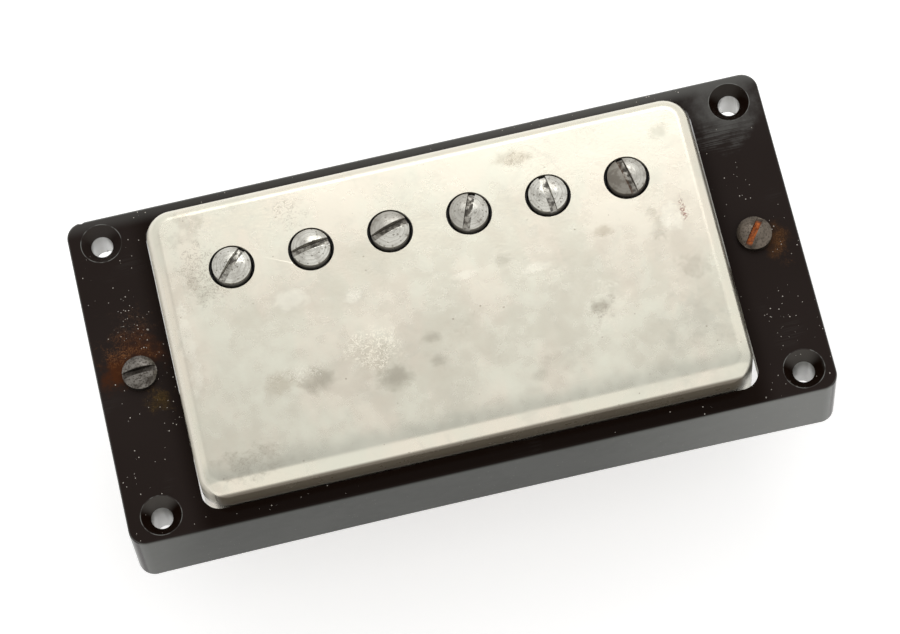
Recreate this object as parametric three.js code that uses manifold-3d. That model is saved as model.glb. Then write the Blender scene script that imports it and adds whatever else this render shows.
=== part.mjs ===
// Guitar pickup: two coils side by side under one drawn metal cover, hung in a plastic mounting ring
// from two height screws with springs. Lengths are in millimetres and angles in degrees.
// X runs along the ring, Y points from the slug side to the pole screw side, Z points to the strings.
// The origin is the middle of the arched seat on which the ring sits on the guitar top.

import * as THREE from "three";
import { mergeVertices } from "three/addons/utils/BufferGeometryUtils.js";
import Module from "manifold-3d";

const wasm = await Module();
wasm.setup();

// Modelling allowances
const WELD = 0.0005;
const OVERCUT = 1;
const FIT = 0.1;
const ARC_STEPS = 6;
const ROUND_STEPS = 4;
const HOLE_SIDES = 20;
const SCREW_SIDES = 20;
const DOME_STEPS = 4;
const ARCH_STEPS = 15;
const QUARTER_TURN = Math.PI / 2;
const FULL_TURN = 2 * Math.PI;
const HALF_TURN_DEGREES = 180;

// Pole pieces
const POLE_COUNT = 6;
const POLE_END_INSET = 9.05;
const POLE_HEAD = 4.85;
const POLE_HEAD_STAND = 0.6;
const POLE_HEAD_RIM = 1.6;
const POLE_DOME = 0.65;
const POLE_SHANK = 3.1;
const POLE_SHANK_LENGTH = 19.05;
const POLE_TIP_CHAMFER = 0.4;
const POLE_SLOT_WIDTH = 0.9;
const POLE_SLOT_DEPTH = 1.15;
const POLE_SLOT_ANGLES = [47.5, 9, 16.5, 69, 96, 101.5];
const SLUG_DIAMETER = 4.76;
const SLUG_REACH = 1.1;
const SLUG_CHAMFER = 0.3;

// Cover
const COVER_LENGTH = 69.7;
const COVER_WIDTH = 38.8;
const COVER_SHEET = 0.6;
const COVER_CORNER = 3.4;
const COVER_BEND = 1.8;
const COVER_STAND = 4.3;
const COVER_LIP = 0.45;
const COVER_HOLE_GAP = 0.44;

// Bobbins and coils
const BOBBIN_END_GAP = 0.9;
const BOBBIN_SIDE_GAP = 0.5;
const BOBBIN_MIDDLE_GAP = 1.8;
const BOBBIN_TOP_GAP = 0.35;
const BOBBIN_HEIGHT = 11.4;
const BOBBIN_FLANGE = 1.2;
const BOBBIN_CORNER = 2.5;
const BOBBIN_CORE_WALL = 0.85;
const HEAD_POCKET_GAP = 0.25;
const HEAD_POCKET_DEPTH = 1.6;
const COIL_INSET = 1.25;
const TAPE_THICKNESS = 0.3;

// Magnet layer
const MAGNET_HEIGHT = 3.2;
const MAGNET_END_INSET = 1.6;
const KEEPER_WIDTH = 6.35;
const KEEPER_END_INSET = 2.35;
const SPACER_INSET = 0.6;

// Baseplate
const BASE_SHEET = 1;
const BASE_HOLE_GAP = 0.45;
const LEG_WIDTH = 17;
const LEG_DROP = 12.1;
const LEG_BEND = 1.2;
const FOOT_WIDTH = 9;
const LEAD_HOLE = 5;
const LEAD_HOLE_INSET = 6.5;

// Mounting ring
const RING_NEAR_HEIGHT = 11;
const RING_FAR_HEIGHT = 5;
const SEAT_ARCH = 1.05;
const RING_PLATE = 2.2;
const RING_SIDE_WALL = 2.15;
const RING_END_WALL = 2.1;
const RING_CORNER = 2.1;
const RING_EDGE_ROUND = 0.4;
const OPENING_END_GAP = 0.35;
const OPENING_SIDE_GAP = 0.35;
const OPENING_CORNER = 2.35;
const RING_SCREW_INSET_X = 4.1;
const RING_SCREW_INSET_Y = 3.5;
const RING_SCREW_HOLE = 2.9;
const RING_COUNTERSINK = 5.1;
const RING_COUNTERSINK_DEPTH = 1.3;
const RING_POST = 6.2;
const RING_POST_NEAR_DEPTH = 8;
const RING_POST_FAR_DEPTH = 5.7;

// Height screws and springs
const HEIGHT_SCREW_OUT = 4.38;
const HEIGHT_SCREW_END_INSET = 5.45;
const HEIGHT_HEAD = 4.4;
const HEIGHT_HEAD_RIM = 0.8;
const HEIGHT_DOME = 0.8;
const HEIGHT_SHANK = 2.5;
const HEIGHT_SHANK_LENGTH = 31.75;
const HEIGHT_TIP_CHAMFER = 0.35;
const HEIGHT_SLOT_WIDTH = 0.8;
const HEIGHT_SLOT_DEPTH = 0.95;
const HEIGHT_SLOT_ANGLES = { left: 3, right: 53.5 };
const HEIGHT_HOLE_GAP = 0.3;
const SPRING_WIRE = 0.65;
const SPRING_BORE_GAP = 0.7;
const SPRING_SEAT_GAP = 0.05;
const SPRING_CURLS = 14;
const SPRING_STEPS = 8;
const SPRING_SIDES = 5;

// Bobbin screws and solder
const SMALL_HEAD = 3.6;
const SMALL_HEAD_RIM = 0.4;
const SMALL_DOME = 0.8;
const SMALL_SHANK = 2.1;
const SMALL_BITE = 3.2;
const SMALL_TIP_CHAMFER = 0.3;
const SMALL_SLOT_WIDTH = 0.6;
const SMALL_SLOT_DEPTH = 0.7;
const SMALL_SLOT_ANGLES = [20, 65, 110, 155];
const SOLDER_LENGTH = 9;
const SOLDER_REACH = 1.6;

// Widths and lengths worked out from the dimensions above
const COVER_INNER_LENGTH = COVER_LENGTH - 2 * COVER_SHEET;
const COVER_INNER_WIDTH = COVER_WIDTH - 2 * COVER_SHEET;
const POLE_PITCH = (COVER_INNER_LENGTH - 2 * POLE_END_INSET) / (POLE_COUNT - 1);
const BOBBIN_LENGTH = COVER_INNER_LENGTH - 2 * BOBBIN_END_GAP;
const BOBBIN_WIDTH = (COVER_INNER_WIDTH - BOBBIN_MIDDLE_GAP) / 2 - BOBBIN_SIDE_GAP;
const SCREW_ROW_Y = (BOBBIN_WIDTH + BOBBIN_MIDDLE_GAP) / 2;
const SLUG_ROW_Y = -SCREW_ROW_Y;
const CORE_WIDTH = SLUG_DIAMETER + 2 * BOBBIN_CORE_WALL;
const CORE_LENGTH = (POLE_COUNT - 1) * POLE_PITCH + CORE_WIDTH;
const MAGNET_LENGTH = BOBBIN_LENGTH - 2 * MAGNET_END_INSET;
const MAGNET_FAR_Y = SCREW_ROW_Y - KEEPER_WIDTH / 2;
const MAGNET_NEAR_Y = SLUG_ROW_Y + SLUG_DIAMETER / 2 + FIT;
const KEEPER_LENGTH = BOBBIN_LENGTH - 2 * KEEPER_END_INSET;
const SPACER_FAR_Y = SLUG_ROW_Y - SLUG_DIAMETER / 2 - FIT;
const SPACER_NEAR_Y = SLUG_ROW_Y - BOBBIN_WIDTH / 2 + SPACER_INSET;
const BASE_LENGTH = COVER_INNER_LENGTH - 2 * FIT;
const BASE_WIDTH = COVER_INNER_WIDTH - 2 * FIT;
const BASE_CORNER = COVER_CORNER - COVER_SHEET - FIT;
const OPENING_LENGTH = COVER_LENGTH + 2 * OPENING_END_GAP;
const OPENING_WIDTH = COVER_WIDTH + 2 * OPENING_SIDE_GAP;
const HEIGHT_SCREW_X = COVER_LENGTH / 2 + HEIGHT_SCREW_OUT;
const RING_LENGTH = 2 * (HEIGHT_SCREW_X + HEIGHT_SCREW_END_INSET);
const RING_WIDTH = OPENING_WIDTH + 2 * RING_SIDE_WALL;
const SPRING_OUTSIDE = HEIGHT_SHANK + 2 * (SPRING_BORE_GAP + SPRING_WIRE);
const SMALL_SCREW_X = 2 * POLE_PITCH;
const SMALL_SHANK_LENGTH = BASE_SHEET + MAGNET_HEIGHT + SMALL_BITE;
const SLUG_LENGTH = BOBBIN_HEIGHT + SLUG_REACH;

// Heights worked out from the dimensions above
const COVER_HEIGHT =
  COVER_SHEET + BOBBIN_TOP_GAP + BOBBIN_HEIGHT + MAGNET_HEIGHT + BASE_SHEET + COVER_LIP;
const RING_TOP = (RING_NEAR_HEIGHT + RING_FAR_HEIGHT) / 2;
const RING_PLATE_UNDER = RING_TOP - RING_PLATE;
const RING_BLOCK_BOTTOM = RING_TOP - 2 * RING_NEAR_HEIGHT;
const SEAT_SLOPE = Math.atan2(RING_FAR_HEIGHT - RING_NEAR_HEIGHT, RING_WIDTH);
const COVER_TOP = RING_TOP + COVER_STAND;
const COVER_BOTTOM = COVER_TOP - COVER_HEIGHT;
const COVER_CEILING = COVER_TOP - COVER_SHEET;
const BOBBIN_TOP = COVER_CEILING - BOBBIN_TOP_GAP;
const BOBBIN_BOTTOM = BOBBIN_TOP - BOBBIN_HEIGHT;
const BASE_TOP = BOBBIN_BOTTOM - MAGNET_HEIGHT;
const BASE_BOTTOM = BASE_TOP - BASE_SHEET;
const FOOT_TOP = BASE_BOTTOM - LEG_DROP;
const FOOT_BOTTOM = FOOT_TOP - BASE_SHEET;
const POLE_HEAD_UNDER = COVER_TOP + POLE_HEAD_STAND - POLE_HEAD_RIM;

const COLOURS = {
  ring: 0x24201d,
  cover: 0xded9cb,
  poleScrew: 0x97928a,
  heightScrew: 0x8f8c88,
  spring: 0xa9a7a2,
  baseplate: 0xb9b2a2,
  bobbin: 0x1b1a19,
  coil: 0x6e2f1c,
  tape: 0x171616,
  slug: 0x9c9a96,
  keeper: 0x77746f,
  magnet: 0x55534f,
  wood: 0xb08a57,
  brass: 0xb49a5a,
  solder: 0xb4b3ae,
};

// Solids from three.js geometry

function asSolid(geometry) {
  const bare = geometry.index ? geometry.toNonIndexed() : geometry.clone();
  bare.deleteAttribute("normal");
  bare.deleteAttribute("uv");
  const merged = mergeVertices(bare, WELD);
  const mesh = new wasm.Mesh({
    numProp: 3,
    vertProperties: merged.attributes.position.array,
    triVerts: new Uint32Array(merged.index.array),
  });
  return new wasm.Manifold(mesh);
}

function asGeometry(solid) {
  const mesh = solid.getMesh();
  const geometry = new THREE.BufferGeometry();
  geometry.setAttribute("position", new THREE.BufferAttribute(new Float32Array(mesh.vertProperties), 3));
  geometry.setIndex(new THREE.BufferAttribute(new Uint32Array(mesh.triVerts), 1));
  geometry.computeVertexNormals();
  return geometry;
}

function cutAll(solid, cutters) {
  return cutters.reduce((left, cutter) => left.subtract(cutter), solid);
}

// A rectangle with round corners, centred on the given place.
function roundedOutline(length, width, corner, x = 0, y = 0) {
  const right = x + length / 2 - corner;
  const left = x - length / 2 + corner;
  const far = y + width / 2 - corner;
  const near = y - width / 2 + corner;
  const outline = new THREE.Shape();
  outline.absarc(right, far, corner, 0, QUARTER_TURN);
  outline.absarc(left, far, corner, QUARTER_TURN, Math.PI);
  outline.absarc(left, near, corner, Math.PI, Math.PI + QUARTER_TURN);
  outline.absarc(right, near, corner, -QUARTER_TURN, 0);
  outline.closePath();
  return outline;
}

function slab(outline, bottom, top) {
  const settings = { depth: top - bottom, bevelEnabled: false, curveSegments: ARC_STEPS };
  return asSolid(new THREE.ExtrudeGeometry(outline, settings).translate(0, 0, bottom));
}

function block(length, width, bottom, top, x = 0, y = 0) {
  const geometry = new THREE.BoxGeometry(length, width, top - bottom);
  return asSolid(geometry.translate(x, y, (bottom + top) / 2));
}

// A block with round corners whose top edge is rounded over as well.
function crownedSlab(length, width, corner, round, bottom, top) {
  const outline = roundedOutline(length - 2 * round, width - 2 * round, corner - round);
  const settings = {
    depth: top - bottom,
    bevelThickness: round,
    bevelSize: round,
    bevelSegments: ROUND_STEPS,
    curveSegments: ARC_STEPS,
  };
  const crowned = asSolid(new THREE.ExtrudeGeometry(outline, settings).translate(0, 0, bottom - round));
  return crowned.intersect(block(length + OVERCUT, width + OVERCUT, bottom, top + OVERCUT));
}

function cylinder(diameter, bottom, top, x = 0, y = 0, topDiameter = diameter) {
  const geometry = new THREE.CylinderGeometry(topDiameter / 2, diameter / 2, top - bottom, HOLE_SIDES);
  return asSolid(geometry.rotateX(QUARTER_TURN).translate(x, y, (bottom + top) / 2));
}

// A turned piece on the Z axis from a profile of radius and height that starts and ends on the axis.
function turned(profile) {
  const points = profile.map(([radius, height]) => new THREE.Vector2(radius, height));
  return asSolid(new THREE.LatheGeometry(points, SCREW_SIDES).rotateX(QUARTER_TURN));
}

function domeProfile(radius, rim, rise) {
  const ballRadius = (radius * radius + rise * rise) / (2 * rise);
  const opening = Math.asin(radius / ballRadius);
  const points = [];
  for (let step = 0; step < DOME_STEPS; step++) {
    const angle = opening * (1 - step / DOME_STEPS);
    points.push([ballRadius * Math.sin(angle), rim + rise - ballRadius * (1 - Math.cos(angle))]);
  }
  return [...points, [0, rim + rise]];
}

// A slotted round-head screw with its head's underside at height zero, pointing down.
function slottedScrew(size) {
  const head = size.head / 2;
  const shank = size.shank / 2;
  const profile = [
    [0, -size.length],
    [shank - size.chamfer, -size.length],
    [shank, size.chamfer - size.length],
    [shank, 0],
    [head, 0],
    ...domeProfile(head, size.rim, size.dome),
  ];
  const top = size.rim + size.dome;
  const slot = new THREE.BoxGeometry(size.head + OVERCUT, size.slotWidth, size.slotDepth + OVERCUT);
  slot.translate(0, 0, top + OVERCUT / 2 - size.slotDepth / 2);
  slot.rotateZ(THREE.MathUtils.degToRad(size.slotAngle));
  return turned(profile).subtract(asSolid(slot));
}

function poleX(index) {
  return (index - (POLE_COUNT - 1) / 2) * POLE_PITCH;
}

function poleXs() {
  return Array.from({ length: POLE_COUNT }, (_, index) => poleX(index));
}

function smallScrewPlaces() {
  return [SCREW_ROW_Y, SLUG_ROW_Y].flatMap((y) => [
    { x: -SMALL_SCREW_X, y },
    { x: SMALL_SCREW_X, y },
  ]);
}

// Sub-parts

function ringScrewPlaces() {
  const farX = RING_LENGTH / 2 - RING_SCREW_INSET_X;
  const farY = RING_WIDTH / 2 - RING_SCREW_INSET_Y;
  return [-farX, farX].flatMap((x) => [
    { x, y: -farY, postDepth: RING_POST_NEAR_DEPTH },
    { x, y: farY, postDepth: RING_POST_FAR_DEPTH },
  ]);
}

function ringPosts() {
  return ringScrewPlaces().map(({ x, y, postDepth }) =>
    cylinder(RING_POST, RING_TOP - postDepth, RING_PLATE_UNDER + FIT, x, y),
  );
}

function ringHoles() {
  const above = RING_TOP + OVERCUT;
  const sinkBottom = RING_TOP - RING_COUNTERSINK_DEPTH;
  const screwHoles = ringScrewPlaces().flatMap(({ x, y }) => [
    cylinder(RING_SCREW_HOLE, RING_BLOCK_BOTTOM, above, x, y),
    cylinder(RING_SCREW_HOLE, sinkBottom, RING_TOP, x, y, RING_COUNTERSINK),
  ]);
  const heightHoles = [-HEIGHT_SCREW_X, HEIGHT_SCREW_X].map((x) =>
    cylinder(HEIGHT_SHANK + 2 * HEIGHT_HOLE_GAP, RING_BLOCK_BOTTOM, above, x, 0),
  );
  return [...screwHoles, ...heightHoles];
}

// All that lies below the arched and sloping surface on which the ring sits.
function belowSeat() {
  const depth = 2 * RING_NEAR_HEIGHT;
  const under = new THREE.BoxGeometry(RING_LENGTH + 2 * OVERCUT, 2 * RING_WIDTH, depth, ARCH_STEPS);
  under.translate(0, 0, -depth / 2);
  const points = under.attributes.position;
  for (let index = 0; index < points.count; index += 1) {
    const share = points.getX(index) / (RING_LENGTH / 2);
    points.setZ(index, points.getZ(index) - SEAT_ARCH * share ** 2);
  }
  return asSolid(under.rotateX(-SEAT_SLOPE));
}

function mountingRing() {
  const body = crownedSlab(RING_LENGTH, RING_WIDTH, RING_CORNER, RING_EDGE_ROUND, RING_BLOCK_BOTTOM, RING_TOP);
  const opening = roundedOutline(OPENING_LENGTH, OPENING_WIDTH, OPENING_CORNER);
  const hollow = roundedOutline(RING_LENGTH - 2 * RING_END_WALL, OPENING_WIDTH, OPENING_CORNER);
  const shell = cutAll(body, [
    slab(opening, RING_BLOCK_BOTTOM - OVERCUT, RING_TOP + OVERCUT),
    slab(hollow, RING_BLOCK_BOTTOM - OVERCUT, RING_PLATE_UNDER),
  ]);
  const posted = ringPosts().reduce((whole, post) => whole.add(post), shell);
  return cutAll(posted, [...ringHoles(), belowSeat()]);
}

function cover() {
  const outside = crownedSlab(COVER_LENGTH, COVER_WIDTH, COVER_CORNER, COVER_BEND, COVER_BOTTOM, COVER_TOP);
  const inside = crownedSlab(
    COVER_INNER_LENGTH,
    COVER_INNER_WIDTH,
    COVER_CORNER - COVER_SHEET,
    COVER_BEND - COVER_SHEET,
    COVER_BOTTOM - OVERCUT,
    COVER_CEILING,
  );
  const holes = poleXs().map((x) =>
    cylinder(POLE_HEAD + 2 * COVER_HOLE_GAP, COVER_CEILING - OVERCUT, COVER_TOP + OVERCUT, x, SCREW_ROW_Y),
  );
  return cutAll(outside, [inside, ...holes]);
}

// The side view of the right leg and foot, folded down and out from the baseplate.
function legFold() {
  const outer = BASE_LENGTH / 2;
  const inner = outer - BASE_SHEET;
  const outerBend = LEG_BEND + BASE_SHEET;
  const footEnd = HEIGHT_SCREW_X + FOOT_WIDTH / 2;
  const fold = new THREE.Shape();
  fold.moveTo(inner, BASE_TOP);
  fold.absarc(inner + outerBend, FOOT_BOTTOM + outerBend, outerBend, Math.PI, Math.PI + QUARTER_TURN);
  fold.lineTo(footEnd, FOOT_BOTTOM);
  fold.lineTo(footEnd, FOOT_TOP);
  fold.absarc(outer + LEG_BEND, FOOT_TOP + LEG_BEND, LEG_BEND, -QUARTER_TURN, Math.PI, true);
  fold.lineTo(outer, BASE_TOP);
  fold.closePath();
  return fold;
}

// The end view of the leg, which narrows towards the foot.
function legTaper() {
  const high = BASE_TOP + OVERCUT;
  const low = FOOT_BOTTOM - OVERCUT;
  const shoulder = FOOT_TOP + LEG_BEND;
  const taper = new THREE.Shape();
  taper.moveTo(-LEG_WIDTH / 2, high);
  taper.lineTo(-FOOT_WIDTH / 2, shoulder);
  taper.lineTo(-FOOT_WIDTH / 2, low);
  taper.lineTo(FOOT_WIDTH / 2, low);
  taper.lineTo(FOOT_WIDTH / 2, shoulder);
  taper.lineTo(LEG_WIDTH / 2, high);
  taper.closePath();
  return taper;
}

// The plan of the leg and foot, with a round end about the height screw.
function footPlan() {
  const step = BASE_LENGTH / 2 + OVERCUT;
  const plan = new THREE.Shape();
  plan.moveTo(0, -LEG_WIDTH / 2);
  plan.lineTo(step, -LEG_WIDTH / 2);
  plan.lineTo(step, -FOOT_WIDTH / 2);
  plan.absarc(HEIGHT_SCREW_X, 0, FOOT_WIDTH / 2, -QUARTER_TURN, QUARTER_TURN);
  plan.lineTo(step, FOOT_WIDTH / 2);
  plan.lineTo(step, LEG_WIDTH / 2);
  plan.lineTo(0, LEG_WIDTH / 2);
  plan.closePath();
  return plan;
}

function rightLeg() {
  const along = { depth: LEG_WIDTH, bevelEnabled: false, curveSegments: ARC_STEPS };
  const folded = new THREE.ExtrudeGeometry(legFold(), along).translate(0, 0, -LEG_WIDTH / 2);
  const across = { depth: RING_LENGTH, bevelEnabled: false };
  const tapered = new THREE.ExtrudeGeometry(legTaper(), across).rotateX(QUARTER_TURN).rotateZ(QUARTER_TURN);
  return asSolid(folded.rotateX(QUARTER_TURN))
    .intersect(asSolid(tapered))
    .intersect(slab(footPlan(), FOOT_BOTTOM - OVERCUT, BASE_TOP + OVERCUT));
}

function baseplateHoles() {
  const low = BASE_BOTTOM - OVERCUT;
  const high = BASE_TOP + OVERCUT;
  const leadX = BASE_LENGTH / 2 - LEAD_HOLE_INSET;
  const leadY = LEAD_HOLE_INSET - BASE_WIDTH / 2;
  return [
    ...poleXs().map((x) => cylinder(POLE_SHANK + 2 * BASE_HOLE_GAP, low, high, x, SCREW_ROW_Y)),
    ...smallScrewPlaces().map(({ x, y }) => cylinder(SMALL_SHANK + 2 * FIT, low, high, x, y)),
    cylinder(LEAD_HOLE, low, high, leadX, leadY),
  ];
}

function baseplate() {
  const plate = slab(roundedOutline(BASE_LENGTH, BASE_WIDTH, BASE_CORNER), BASE_BOTTOM, BASE_TOP);
  const right = rightLeg();
  const tapped = [-HEIGHT_SCREW_X, HEIGHT_SCREW_X].map((x) =>
    cylinder(HEIGHT_SHANK + 2 * FIT, FOOT_BOTTOM - OVERCUT, FOOT_TOP + OVERCUT, x, 0),
  );
  const left = right.rotate([0, 0, HALF_TURN_DEGREES]);
  return cutAll(plate.add(right).add(left), [...baseplateHoles(), ...tapped]);
}

function bobbin(rowY, holes) {
  const flange = roundedOutline(BOBBIN_LENGTH, BOBBIN_WIDTH, BOBBIN_CORNER, 0, rowY);
  const core = roundedOutline(CORE_LENGTH, CORE_WIDTH, CORE_WIDTH / 2, 0, rowY);
  const top = slab(flange, BOBBIN_TOP - BOBBIN_FLANGE, BOBBIN_TOP);
  const bottom = slab(flange, BOBBIN_BOTTOM, BOBBIN_BOTTOM + BOBBIN_FLANGE);
  const middle = slab(core, BOBBIN_BOTTOM, BOBBIN_TOP);
  return cutAll(middle.add(top).add(bottom), holes);
}

function smallScrewBores(rowY) {
  const depth = BASE_BOTTOM + SMALL_SHANK_LENGTH + FIT;
  return [-SMALL_SCREW_X, SMALL_SCREW_X].map((x) =>
    cylinder(SMALL_SHANK + 2 * FIT, BOBBIN_BOTTOM - OVERCUT, depth, x, rowY),
  );
}

function screwBobbin() {
  const low = BOBBIN_BOTTOM - OVERCUT;
  const high = BOBBIN_TOP + OVERCUT;
  const shanks = poleXs().map((x) => cylinder(POLE_SHANK + 2 * FIT, low, high, x, SCREW_ROW_Y));
  const pockets = poleXs().map((x) =>
    cylinder(POLE_HEAD + 2 * HEAD_POCKET_GAP, BOBBIN_TOP - HEAD_POCKET_DEPTH, high, x, SCREW_ROW_Y),
  );
  return bobbin(SCREW_ROW_Y, [...shanks, ...pockets, ...smallScrewBores(SCREW_ROW_Y)]);
}

function slugBobbin() {
  const low = BOBBIN_BOTTOM - OVERCUT;
  const high = BOBBIN_TOP + OVERCUT;
  const holes = poleXs().map((x) => cylinder(SLUG_DIAMETER + 2 * FIT, low, high, x, SLUG_ROW_Y));
  return bobbin(SLUG_ROW_Y, [...holes, ...smallScrewBores(SLUG_ROW_Y)]);
}

// A sleeve round the bobbin's core, held clear of both flanges.
function sleeve(rowY, outside, bore) {
  const low = BOBBIN_BOTTOM + BOBBIN_FLANGE + FIT;
  const high = BOBBIN_TOP - BOBBIN_FLANGE - FIT;
  const outer = roundedOutline(outside.length, outside.width, outside.width / 2, 0, rowY);
  const inner = roundedOutline(bore.length, bore.width, bore.width / 2, 0, rowY);
  return slab(outer, low, high).subtract(slab(inner, low - OVERCUT, high + OVERCUT));
}

function insetFromFlange(inset) {
  return { length: BOBBIN_LENGTH - 2 * inset, width: BOBBIN_WIDTH - 2 * inset };
}

function coil(rowY) {
  const bore = { length: CORE_LENGTH + 2 * FIT, width: CORE_WIDTH + 2 * FIT };
  return sleeve(rowY, insetFromFlange(COIL_INSET), bore);
}

function coilTape(rowY) {
  const innerInset = COIL_INSET - FIT;
  return sleeve(rowY, insetFromFlange(innerInset - TAPE_THICKNESS), insetFromFlange(innerInset));
}

function poleScrew(slotAngle) {
  return slottedScrew({
    head: POLE_HEAD,
    rim: POLE_HEAD_RIM,
    dome: POLE_DOME,
    shank: POLE_SHANK,
    length: POLE_SHANK_LENGTH,
    chamfer: POLE_TIP_CHAMFER,
    slotWidth: POLE_SLOT_WIDTH,
    slotDepth: POLE_SLOT_DEPTH,
    slotAngle,
  });
}

function heightScrew(slotAngle) {
  return slottedScrew({
    head: HEIGHT_HEAD,
    rim: HEIGHT_HEAD_RIM,
    dome: HEIGHT_DOME,
    shank: HEIGHT_SHANK,
    length: HEIGHT_SHANK_LENGTH,
    chamfer: HEIGHT_TIP_CHAMFER,
    slotWidth: HEIGHT_SLOT_WIDTH,
    slotDepth: HEIGHT_SLOT_DEPTH,
    slotAngle,
  });
}

// Bobbin screws are driven from below, so the screw is turned head down.
function bobbinScrew(slotAngle) {
  const upright = slottedScrew({
    head: SMALL_HEAD,
    rim: SMALL_HEAD_RIM,
    dome: SMALL_DOME,
    shank: SMALL_SHANK,
    length: SMALL_SHANK_LENGTH,
    chamfer: SMALL_TIP_CHAMFER,
    slotWidth: SMALL_SLOT_WIDTH,
    slotDepth: SMALL_SLOT_DEPTH,
    slotAngle,
  });
  return upright.rotate([HALF_TURN_DEGREES, 0, 0]);
}

function poleSlug() {
  const radius = SLUG_DIAMETER / 2;
  return turned([
    [0, -SLUG_LENGTH],
    [radius - SLUG_CHAMFER, -SLUG_LENGTH],
    [radius, SLUG_CHAMFER - SLUG_LENGTH],
    [radius, -SLUG_CHAMFER],
    [radius - SLUG_CHAMFER, 0],
    [0, 0],
  ]);
}

function keeperBar() {
  const bar = block(KEEPER_LENGTH, KEEPER_WIDTH, BASE_TOP, BOBBIN_BOTTOM, 0, SCREW_ROW_Y);
  const low = BASE_TOP - OVERCUT;
  const high = BOBBIN_BOTTOM + OVERCUT;
  const tapped = poleXs().map((x) => cylinder(POLE_SHANK + 2 * FIT, low, high, x, SCREW_ROW_Y));
  const cleared = [-SMALL_SCREW_X, SMALL_SCREW_X].map((x) =>
    cylinder(SMALL_SHANK + 2 * FIT, low, high, x, SCREW_ROW_Y),
  );
  return cutAll(bar, [...tapped, ...cleared]);
}

function barMagnet() {
  const middleY = (MAGNET_NEAR_Y + MAGNET_FAR_Y) / 2;
  return block(MAGNET_LENGTH, MAGNET_FAR_Y - MAGNET_NEAR_Y, BASE_TOP, BOBBIN_BOTTOM, 0, middleY);
}

function woodSpacer() {
  const middleY = (SPACER_NEAR_Y + SPACER_FAR_Y) / 2;
  return block(KEEPER_LENGTH, SPACER_FAR_Y - SPACER_NEAR_Y, BASE_TOP, BOBBIN_BOTTOM, 0, middleY);
}

// A fillet of solder between the baseplate's underside and the inside of the cover's far wall.
function solderJoint() {
  const wall = COVER_INNER_WIDTH / 2;
  const section = new THREE.Shape();
  section.moveTo(wall - SOLDER_REACH, BASE_BOTTOM);
  section.lineTo(wall, COVER_BOTTOM);
  section.lineTo(wall, BASE_BOTTOM);
  section.closePath();
  const settings = { depth: SOLDER_LENGTH, bevelEnabled: false };
  const fillet = new THREE.ExtrudeGeometry(section, settings).translate(0, 0, -SOLDER_LENGTH / 2);
  return asSolid(fillet.rotateX(QUARTER_TURN).rotateZ(QUARTER_TURN));
}

// Springs

// The wire's path: a straight end, a helix with a whole number of curls, and a straight end.
// Each entry holds the angle round the axis, the height and the angle at which the wire dips.
function springStations(top, bottom) {
  const radius = (SPRING_OUTSIDE - SPRING_WIRE) / 2;
  const first = top - SPRING_WIRE;
  const last = bottom + SPRING_WIRE;
  const steps = SPRING_CURLS * SPRING_STEPS;
  const turn = SPRING_CURLS * FULL_TURN;
  const dip = Math.atan2(first - last, radius * turn);
  const mitre = (dip + QUARTER_TURN) / 2;
  const stations = [{ angle: 0, height: top, dip: QUARTER_TURN }];
  for (let step = 0; step <= steps; step++) {
    const share = step / steps;
    const atEnd = step === 0 || step === steps;
    stations.push({ angle: share * turn, height: first + share * (last - first), dip: atEnd ? mitre : dip });
  }
  stations.push({ angle: turn, height: bottom, dip: QUARTER_TURN });
  return { radius, stations };
}

function stationFrame(radius, station) {
  const out = new THREE.Vector3(Math.cos(station.angle), Math.sin(station.angle), 0);
  const along = new THREE.Vector3(-Math.sin(station.angle), Math.cos(station.angle), 0);
  along.multiplyScalar(Math.cos(station.dip)).add(new THREE.Vector3(0, 0, -Math.sin(station.dip)));
  const centre = out.clone().multiplyScalar(radius).setZ(station.height);
  return { centre, out, side: new THREE.Vector3().crossVectors(along, out) };
}

function wireTube(frames) {
  const corners = [];
  for (const { centre, out, side } of frames) {
    for (let corner = 0; corner < SPRING_SIDES; corner++) {
      const angle = (corner / SPRING_SIDES) * FULL_TURN;
      const point = centre.clone().addScaledVector(out, (Math.cos(angle) * SPRING_WIRE) / 2);
      corners.push(...point.addScaledVector(side, (Math.sin(angle) * SPRING_WIRE) / 2).toArray());
    }
  }
  const faces = [];
  for (let ring = 0; ring + 1 < frames.length; ring++) {
    for (let corner = 0; corner < SPRING_SIDES; corner++) {
      const here = ring * SPRING_SIDES + corner;
      const beside = ring * SPRING_SIDES + ((corner + 1) % SPRING_SIDES);
      faces.push(here, beside, here + SPRING_SIDES, beside, beside + SPRING_SIDES, here + SPRING_SIDES);
    }
  }
  const lastRing = (frames.length - 1) * SPRING_SIDES;
  for (let corner = 1; corner + 1 < SPRING_SIDES; corner++) {
    faces.push(0, corner + 1, corner);
    faces.push(lastRing, lastRing + corner, lastRing + corner + 1);
  }
  const geometry = new THREE.BufferGeometry();
  geometry.setAttribute("position", new THREE.BufferAttribute(new Float32Array(corners), 3));
  geometry.setIndex(faces);
  geometry.computeVertexNormals();
  return geometry;
}

// The least gap between parts of the wire that lie more than half a curl apart.
function leastGap(frames) {
  let least = Infinity;
  frames.forEach((frame, index) => {
    for (const other of frames.slice(index + SPRING_STEPS / 2)) {
      least = Math.min(least, frame.centre.distanceTo(other.centre) - SPRING_WIRE);
    }
  });
  return least;
}

function heightSpring() {
  const top = RING_PLATE_UNDER - SPRING_SEAT_GAP;
  const bottom = FOOT_TOP + SPRING_SEAT_GAP;
  const { radius, stations } = springStations(top, bottom);
  const frames = stations.map((station) => stationFrame(radius, station));
  console.log("height spring: least gap of the wire to itself " + leastGap(frames).toFixed(2) + " mm");
  return wireTube(frames);
}

// Materials, one function for each kind of stuff

function finish(colour, look) {
  return new THREE.MeshStandardMaterial({ color: colour, ...look });
}

function plastic(colour) {
  return finish(colour, { roughness: 0.35, metalness: 0 });
}

function wornMetal(colour) {
  return finish(colour, { roughness: 0.42, metalness: 0.9 });
}

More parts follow.
